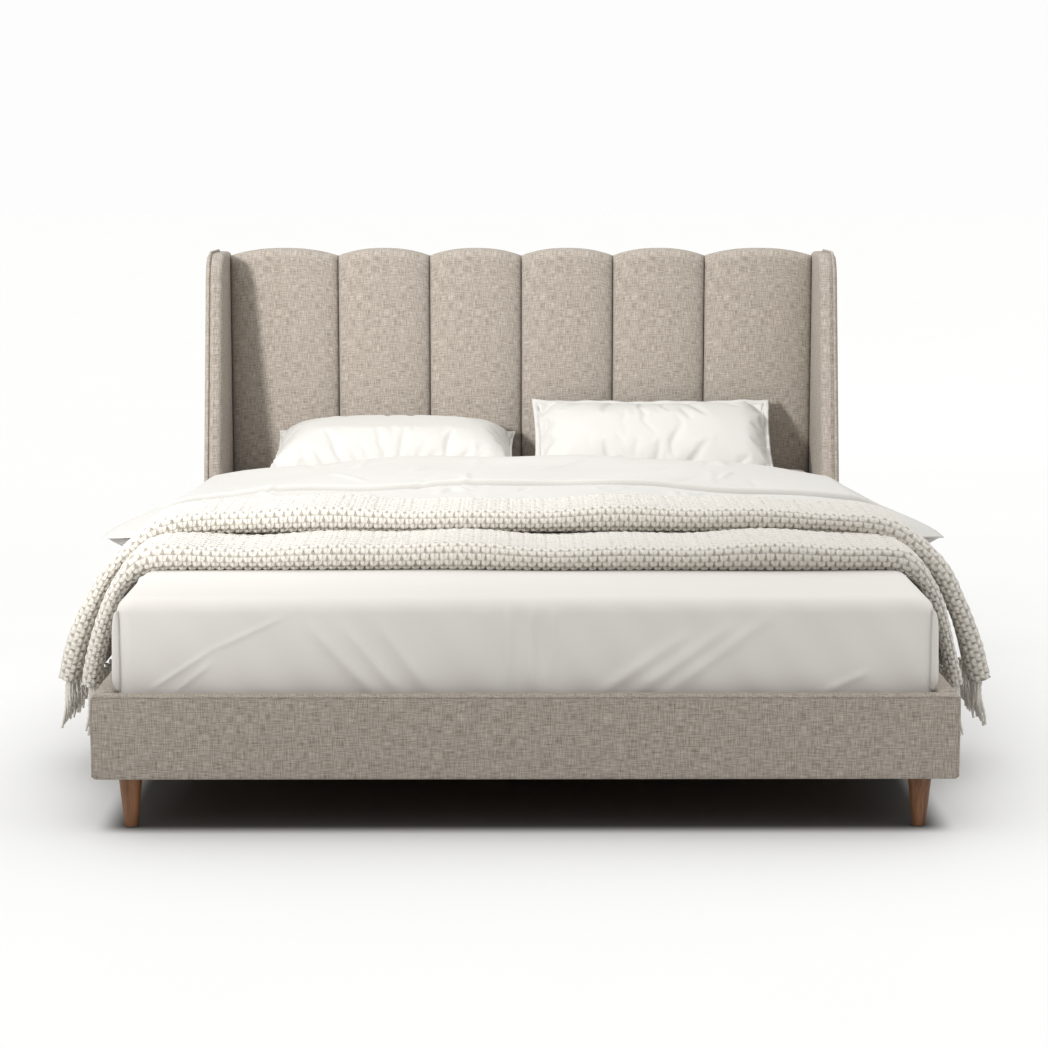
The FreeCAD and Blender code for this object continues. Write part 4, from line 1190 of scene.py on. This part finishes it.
def band(name, front, wide, tall_top, tall_side, points, seed, drift):
    """One folded band. tall_top and tall_side are its thickness on the bed and on the hanging part, and
    past the half width BAND_BEND one turns into the other. The hanging ends drift to the foot."""
    path, across, length = side_path(points, BAND_STATIONS)
    share = smooth((np.abs(path[:, 0]) - BAND_BEND) / 0.06)[:, None]
    y, h, out_y, out_h, s = fold_section(wide, tall_top, 12)
    tall = 1 + (tall_side / tall_top - 1) * share
    lump = moss(length[:, None], s[None]) * (1 - smooth((s - BAND_FINE + 0.01) / 0.01))[None]
    rng = np.random.default_rng(seed)
    phases = rng.uniform(0, 6.28, 6)
    run = length[:, None]
    sag = 0.004 * np.sin(run * 9 + phases[0]) + 0.003 * np.sin(run * 21 + phases[1])
    shift = 0.007 * np.sin(run * 4.2 + phases[2]) + 0.003 * np.sin(run * 13 + phases[3])
    hanging = smooth((np.abs(path[:, 0]) - BAND_HANG) / 0.36)[:, None]
    move = shift * (1 - np.clip(y / wide, 0, 1)[None]) - drift * hanging
    top = (h / tall_top)[None]
    rise = STITCH_RISE * lump - STITCH_SUNK
    outer_y = front + move + y[None] + out_y[None] * rise
    outer_h = h[None] * tall + sag * top + out_h[None] * rise
    back = slice(None, None, -HEM_RATIO)
    inner_y = front + move + y[None] - out_y[None] * CLOTH_THICK
    inner_h = (h[None] - out_h[None] * CLOTH_THICK) * tall + sag * top
    inner_y, inner_h = inner_y[:, back], inner_h[:, back]
    ys = np.concatenate([outer_y, inner_y], 1)
    hs = np.concatenate([outer_h, inner_h], 1)
    x = path[:, :1] + across[:, :1] * hs
    z = path[:, 1:] + across[:, 1:] * hs
    grid = np.stack([x, ys, z], 2)
    # raised is the relief that the wool's painted shade follows; the inner skin takes one fixed, lowish value
    raised = np.concatenate([lump, np.full(inner_y.shape, 0.3)], 1)
    cloth = np.stack(np.broadcast_arrays(np.r_[s, s[-1] + s[::HEM_RATIO] + 0.01, 2 * s[-1] + 0.02][None],
                                         length[:, None]), 2)
    piece = build(name, [{"points": grid, "around": True, "hems": HEM_RATIO, "cloth": cloth}], WOOL)
    point_values(piece, "raised", raised)
    print(f"{name}: {length[-1]:.3f} m long over the bed")
    return piece, float(length[-1]), float(s[-1])


SHEET_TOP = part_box("fitted_sheet")[1].z
THROW_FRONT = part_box("throw")[0].y
HIGH_BACK = 0.221
# right-hand points (across, up) of each band's path, from the middle of the bed to the hem, in metres
LOW_BAND = (
    (0, SHEET_TOP + 0.001), (0.30, SHEET_TOP + 0.001), (0.62, SHEET_TOP + 0.001),
    (0.733, SHEET_TOP - 0.002), (0.778, 0.419), (0.808, 0.378), (0.830, 0.314), (0.846, 0.240),
    (0.851, 0.206),
)
HIGH_BAND = (
    (0, SHEET_TOP + 0.046), (0.30, SHEET_TOP + 0.046), (0.62, SHEET_TOP + 0.044), (0.750, 0.470),
    (0.826, 0.418), (0.865, 0.350), (0.893, 0.275), (0.914, 0.192),
)
low_band, low_run, low_round = band("throw_lower_fold", THROW_FRONT, wide=0.455, tall_top=0.046,
                                    tall_side=0.027, points=LOW_BAND, seed=3, drift=0.0)
high_band, high_run, high_round = band("throw_upper_fold", THROW_FRONT + HIGH_BACK, wide=0.236,
                                       tall_top=0.044, tall_side=0.034, points=HIGH_BAND, seed=8, drift=0.12)

# %% [markdown]
# The ends of the throw carry a knotted fringe. Each tassel is a few twisted strands that hang from the hem,
# sway a little and taper; a strand is a tube whose radius swells with the twist.

# %% Fringe
STRAND_RADIUS = 0.0032
STRAND_TWIST = 0.0045
STRAND_APART = 0.004
STRANDS = 3
FRINGE_SHADE = 0.62


def fringe(name, hem_x, hem_z, start, end, tassels, long, seed):
    """The tassels of one hem as tubes side by side in one piece: hem_x and hem_z are the hem's place, start
    and end the first and the last tassel's place along the bed, and long is a strand's middle length."""
    rng = np.random.default_rng(seed)
    parts = []
    drop = np.linspace(0, 1, 26)
    for side in (-1, 1):
        for place in np.linspace(start, end, tassels):
            lean = rng.normal(0, 0.006)
            for strand in range(STRANDS):
                length = long * rng.uniform(0.88, 1.08)
                phase, sway = rng.uniform(0, 6.28), rng.uniform(0.0005, 0.0018)
                beside = strand - 1
                x = hem_x + STRAND_APART * beside + sway * np.sin(drop * 7 + phase) + 0.010 * drop ** 1.5
                plait = STRAND_TWIST * beside * np.sin(drop * 5 + 0.5)
                y = place + plait + lean * drop + sway * np.cos(drop * 9 + phase)
                z = hem_z + 0.006 - length * drop
                path = np.stack([side * x, y, z], 1)
                twist = 1 + 0.22 * np.sin(drop * length / STRAND_TWIST * 2.1 + phase)
                radius = STRAND_RADIUS * twist * (1 - 0.25 * drop ** 3)
                parts.append(closed(tube(path, radius, 7)))
    piece = build(name, parts, YARN)
    point_values(piece, "raised", np.full(len(piece.data.vertices), FRINGE_SHADE))
    return piece


low_fringe = fringe("throw_lower_fringe", hem_x=0.864, hem_z=0.206, start=THROW_FRONT + 0.012,
                    end=THROW_FRONT + 0.42, tassels=11, long=0.106, seed=21)
high_fringe = fringe("throw_upper_fringe", hem_x=0.931, hem_z=0.192, start=THROW_FRONT + 0.130,
                     end=THROW_FRONT + 0.345, tassels=9, long=0.096, seed=22)

finish_piece(low_band, "throw", "cream_wool", "throw")
finish_piece(high_band, "throw", "cream_wool", "throw")
finish_piece(low_fringe, "throw", "cream_wool", "throw_fringe")
finish_piece(high_fringe, "throw", "cream_wool", "throw_fringe")

# %% [markdown]
# ## Pillows
# A pillow case is two cloths sewn round their edges and blown up by the filling. That is what is done
# here: a grid for each cloth, joined at the seam, starts as a thin lens, and Blender's cloth simulation
# puts pressure inside while the seam is held, so that the cloth fills out and puckers near the seam. The
# result is applied, then laid down at its tilt and pressed flat where it meets the bed or the headboard.

# %% Pillow shapes
def pillow_outline(a, b, pull, u, v):
    """Place in the pillow's plane of (u, v) from -1 to 1: a rectangle whose sides pull in between its
    corners."""
    return a * u * (1 - pull * (1 - v ** 2)), b * v * (1 - pull * 1.3 * (1 - u ** 2))


def pillow_mesh(name, a, b, thick, pull, across, up):
    """Two grids that share their rim; returns the object and which of its points lie on the seam."""
    u, v = np.meshgrid(*(np.sin(even * np.pi / 2) * 0.3 + even * 0.7
                         for even in (np.linspace(-1, 1, across), np.linspace(-1, 1, up))))
    x, y = pillow_outline(a, b, pull, u, v)
    lift = thick * ((1 - u ** 4) * (1 - v ** 4)).clip(0) ** 0.6
    rim = np.zeros(u.shape, bool)
    rim[0] = rim[-1] = True
    rim[:, 0] = rim[:, -1] = True
    front = np.arange(u.size).reshape(u.shape)
    back = front.copy()
    back[~rim] = u.size + np.arange((~rim).sum())
    verts = np.concatenate([np.stack([x, y, lift], 2).reshape(-1, 3),
                            np.stack([x[~rim], y[~rim], -lift[~rim]], 1)])
    quads, cloth = [], []
    place = np.stack([x, y], 2).reshape(-1, 2)
    for grid, flip in ((front, False), (back, True)):
        corners = np.stack([grid[:-1, :-1], grid[:-1, 1:], grid[1:, 1:], grid[1:, :-1]], 2).reshape(-1, 4)
        flat = np.stack([front[:-1, :-1], front[:-1, 1:], front[1:, 1:], front[1:, :-1]], 2).reshape(-1, 4)
        quads.append(corners[:, ::-1] if flip else corners)
        cloth.append(place[flat][:, ::-1] if flip else place[flat])
    piece = mesh_object(name, verts, np.concatenate(quads), np.concatenate(cloth), SHADED_COTTON)
    seam = np.zeros(len(verts), bool)
    seam[:u.size] = rim.ravel()
    return piece, seam


def mesh_points(mesh):
    """The points of a mesh as an array."""
    points = np.empty(len(mesh.vertices) * 3, np.float32)
    mesh.vertices.foreach_get("co", points)
    return points.reshape(-1, 3).astype(float)


def set_points(piece, points):
    """Writes points into a piece's mesh."""
    piece.data.vertices.foreach_set("co", points.astype(np.float32).ravel())
    piece.data.update()


SIM_FRAMES = 20
PILLOW_CAP = 0.030
PILLOW_ACROSS = 92
PILLOW_UP = 56
PRESS_SOFT = 0.006
RIM_THICK = 0.0028


def inflate(piece, seam, pressure, slack):
    """Blows the piece up with the seam held, for SIM_FRAMES frames; slack is how much larger the cloth is
    than its outline. No point moves further than PILLOW_CAP."""
    start = mesh_points(piece.data)
    group = piece.vertex_groups.new(name="seam")
    group.add([int(k) for k in np.nonzero(seam)[0]], 1.0, "REPLACE")
    cloth = piece.modifiers.new("cloth", "CLOTH")
    settings = cloth.settings
    settings.quality = 6
    settings.mass = 0.2
    settings.tension_stiffness = settings.compression_stiffness = 12
    settings.shear_stiffness = 6
    settings.bending_stiffness = 0.4
    settings.use_pressure = True
    settings.uniform_pressure_force = pressure
    settings.shrink_min = -slack
    settings.vertex_group_mass = "seam"
    settings.effector_weights.gravity = 0
    cloth.collision_settings.use_collision = False
    cloth.point_cache.frame_start = 1
    cloth.point_cache.frame_end = SIM_FRAMES
    scene = bpy.context.scene
    for number in range(1, SIM_FRAMES + 1):
        scene.frame_set(number)
    graph = bpy.context.evaluated_depsgraph_get()
    points = mesh_points(piece.evaluated_get(graph).to_mesh())
    piece.evaluated_get(graph).to_mesh_clear()
    piece.modifiers.remove(cloth)
    piece.vertex_groups.clear()
    scene.frame_set(1)
    move = points - start
    far = np.linalg.norm(move, axis=1, keepdims=True)
    set_points(piece, start + move * np.minimum(1, PILLOW_CAP / np.maximum(far, 1e-9)))
    print(f"{piece.name}: moved up to {far.max() * 1000:.0f} mm")


def lay(points, tilt, centre, back, under):
    """Tilts points about the bed's width, moves them to centre, and presses them flat at back and under:
    a soft limit, log(1 + exp(d / PRESS_SOFT)) * PRESS_SOFT, of the distance d to each plane."""
    c, s = math.cos(tilt), math.sin(tilt)
    x = points[:, 0] + centre[0]
    y = points[:, 1] * c - points[:, 2] * s + centre[1]
    z = points[:, 1] * s + points[:, 2] * c + centre[2]
    y = back - np.logaddexp(0, (back - y) / PRESS_SOFT) * PRESS_SOFT
    z = under + np.logaddexp(0, (z - under) / PRESS_SOFT) * PRESS_SOFT
    return np.stack([x, y, z], 1)


def flange_points(a, b, pull, wide, thick):
    """The flat rim round a pillow case as a closed loop of flat sections: (along, around, 3)."""
    t = np.linspace(-1, 1, 70)[:-1]
    one = np.ones(len(t))
    u = np.concatenate([t, one, -t, -one])
    v = np.concatenate([-one, t, one, -t])
    steps = np.array([-0.006, wide * 0.6, wide, wide * 0.6, -0.006])
    heights = np.array([-0.5, -0.5, 0, 0.5, 0.5]) * thick
    wave = 0.0018 * np.sin(np.arange(len(u)) * 0.31) + 0.0012 * np.sin(np.arange(len(u)) * 0.83)
    loops = []
    for step, height in zip(steps, heights):
        x, y = pillow_outline(a + step, b + step, pull, u, v)
        loops.append(np.stack([x, y, height + wave * (step > 0)], 1))
    return np.stack(loops, 1)


# half width, half height, lens, pull, slack, pressure, tilt, middle height, rim width and shift sideways
PILLOWS = {
    "pillow_left": (0.310, 0.166, 0.050, 0.035, 0.055, 5.0, math.radians(11), 0.066, 0.004, 0.0),
    "pillow_right": (0.302, 0.150, 0.040, 0.030, 0.060, 4.5, math.radians(40), 0.083, 0.012, 0.012),
}


def pillow(name):
    """One pillow: inflated, laid in the place of its plain solid, smoothed, and given its sewn rim."""
    a, b, thick, pull, slack, pressure, tilt, tall, rim, aside = PILLOWS[name]
    low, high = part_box(name)
    piece, seam = pillow_mesh(name + "_cotton", a, b, thick, pull, PILLOW_ACROSS, PILLOW_UP)
    inflate(piece, seam, pressure, slack)
    centre = ((low.x + high.x) / 2 + aside, (low.y + high.y) / 2, low.z + tall)
    back, under = high.y - 0.001, low.z + 0.0005
    set_points(piece, lay(mesh_points(piece.data), tilt, centre, back, under))
    smoother = piece.modifiers.new("smooth", "SUBSURF")
    smoother.levels = smoother.render_levels = 1
    finish_piece(piece, name, "white_cotton", name)
    points = flange_points(a, b, pull, rim, RIM_THICK)
    placed = lay(points.reshape(-1, 3), tilt, centre, back, under).reshape(points.shape)
    edge = build(name + "_rim", [{"points": placed, "around": True, "along": True, "turned": True}], SHADED_COTTON)
    finish_piece(edge, name, "white_cotton")


for pillow_name in PILLOWS:
    pillow(pillow_name)

# %% [markdown]
# ## The frame's own finishes
# The wooden and metal parts keep their shapes and only take a finish each. Wood grain is a noise squeezed
# along the board, so each board gets the version whose grain runs along its longest side.

# %% Wood and metal
DUST_GRID = 0.005
GRAIN_ALONG, GRAIN_ACROSS = 2.5, 70.0
PORE_ALONG, PORE_ACROSS = 9.0, 420.0


def wood(name, along, light, dark, rough):
    """Wood: long streaks along one axis and finer pores over them."""
    f = Finish(f"{name}_{'xyz'[along]}", {"Specular IOR Level": 0.35})
    place = f.object_place()
    grain = [GRAIN_ALONG if k == along else GRAIN_ACROSS for k in range(3)]
    pores = [PORE_ALONG if k == along else PORE_ACROSS for k in range(3)]
    streak = f.noise(place, grain, 4.0, 0.6)
    pore = f.noise(place, pores)
    tone = (streak * 0.75 + pore * 0.25).step(0.30, 0.72)
    f.colour(f.mix(tone, dark, light))
    f.rough(rough + pore * 0.15)
    f.relief(pore, 0.0004, 0.3)
    return f.material


def plain(name, light, dark, scale, rough, metallic=0.0, depth=0.0002):
    """A finish with a fine mottling in colour, roughness and relief: metal, felt, plastic or webbing."""
    f = Finish(name, {"Metallic": metallic, "Specular IOR Level": 0.4})
    place = f.object_place()
    mottle = f.noise(place, (scale, scale, scale), 3.0)
    f.colour(f.mix(mottle, dark, light))
    f.rough(rough + mottle * 0.15)
    f.relief(mottle, depth, 0.4)
    return f.material


def dust_cloth():
    """Charcoal non-woven cloth: fibres pressed in a small diamond grid."""
    f = Finish("dust_cloth", {"Roughness": 0.95, "Specular IOR Level": 0.1})
    place = f.object_place()
    x, _, z = f.split(place)
    turns = 2 * math.pi / DUST_GRID
    pips = ((x + z) * turns).wave() * ((x - z) * turns).wave()
    fibre = f.noise(place, (300, 300, 300), 3.0)
    f.colour(f.mix(fibre * 0.7 + pips * 0.3, shade(58, 57, 56), shade(86, 85, 83)))
    f.relief(pips * 0.5 + fibre * 0.5, 0.0004, 0.5)
    return f.material


WOODS = {
    "pine": (shade(214, 182, 138), shade(176, 138, 94), 0.55),
    "walnut_stain": (shade(146, 102, 70), shade(88, 58, 38), 0.38),
}
PLAINS = {
    "zinc_steel": plain("zinc_steel", shade(196, 198, 200), shade(150, 152, 156), 180, 0.28, 1.0),
    "grey_felt": plain("grey_felt", shade(110, 108, 104), shade(74, 73, 70), 500, 0.85),
    "black_plastic": plain("black_plastic", shade(42, 42, 43), shade(28, 28, 29), 900, 0.45),
    "white_webbing": plain("white_webbing", shade(222, 219, 210), shade(188, 185, 176), 700, 0.8),
    "dust_cloth": dust_cloth(),
    "greige_linen": GREIGE,
    "white_cotton": COTTON,
    "cream_wool": WOOL,
}
made_woods = {}


def frame_finish(node, slot):
    """The finish of a frame part; a wooden one has its grain along its longest side."""
    if slot in PLAINS:
        return PLAINS[slot]
    if slot == "mattress_ticking":
        return bpy.data.materials["mattress_ticking"]
    low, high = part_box(node)
    along = int(np.argmax(np.array(high) - np.array(low)))
    if (slot, along) not in made_woods:
        made_woods[slot, along] = wood(slot, along, *WOODS[slot])
    return made_woods[slot, along]


for subpart in frame["record"]["subparts"]:
    node = frame["nodes"][subpart["node"]]
    node.data.materials.clear()
    node.data.materials.append(frame_finish(subpart["node"], subpart["material_slot"]))
print("frame finishes:", sorted(PLAINS) + sorted(str(k) for k in made_woods))
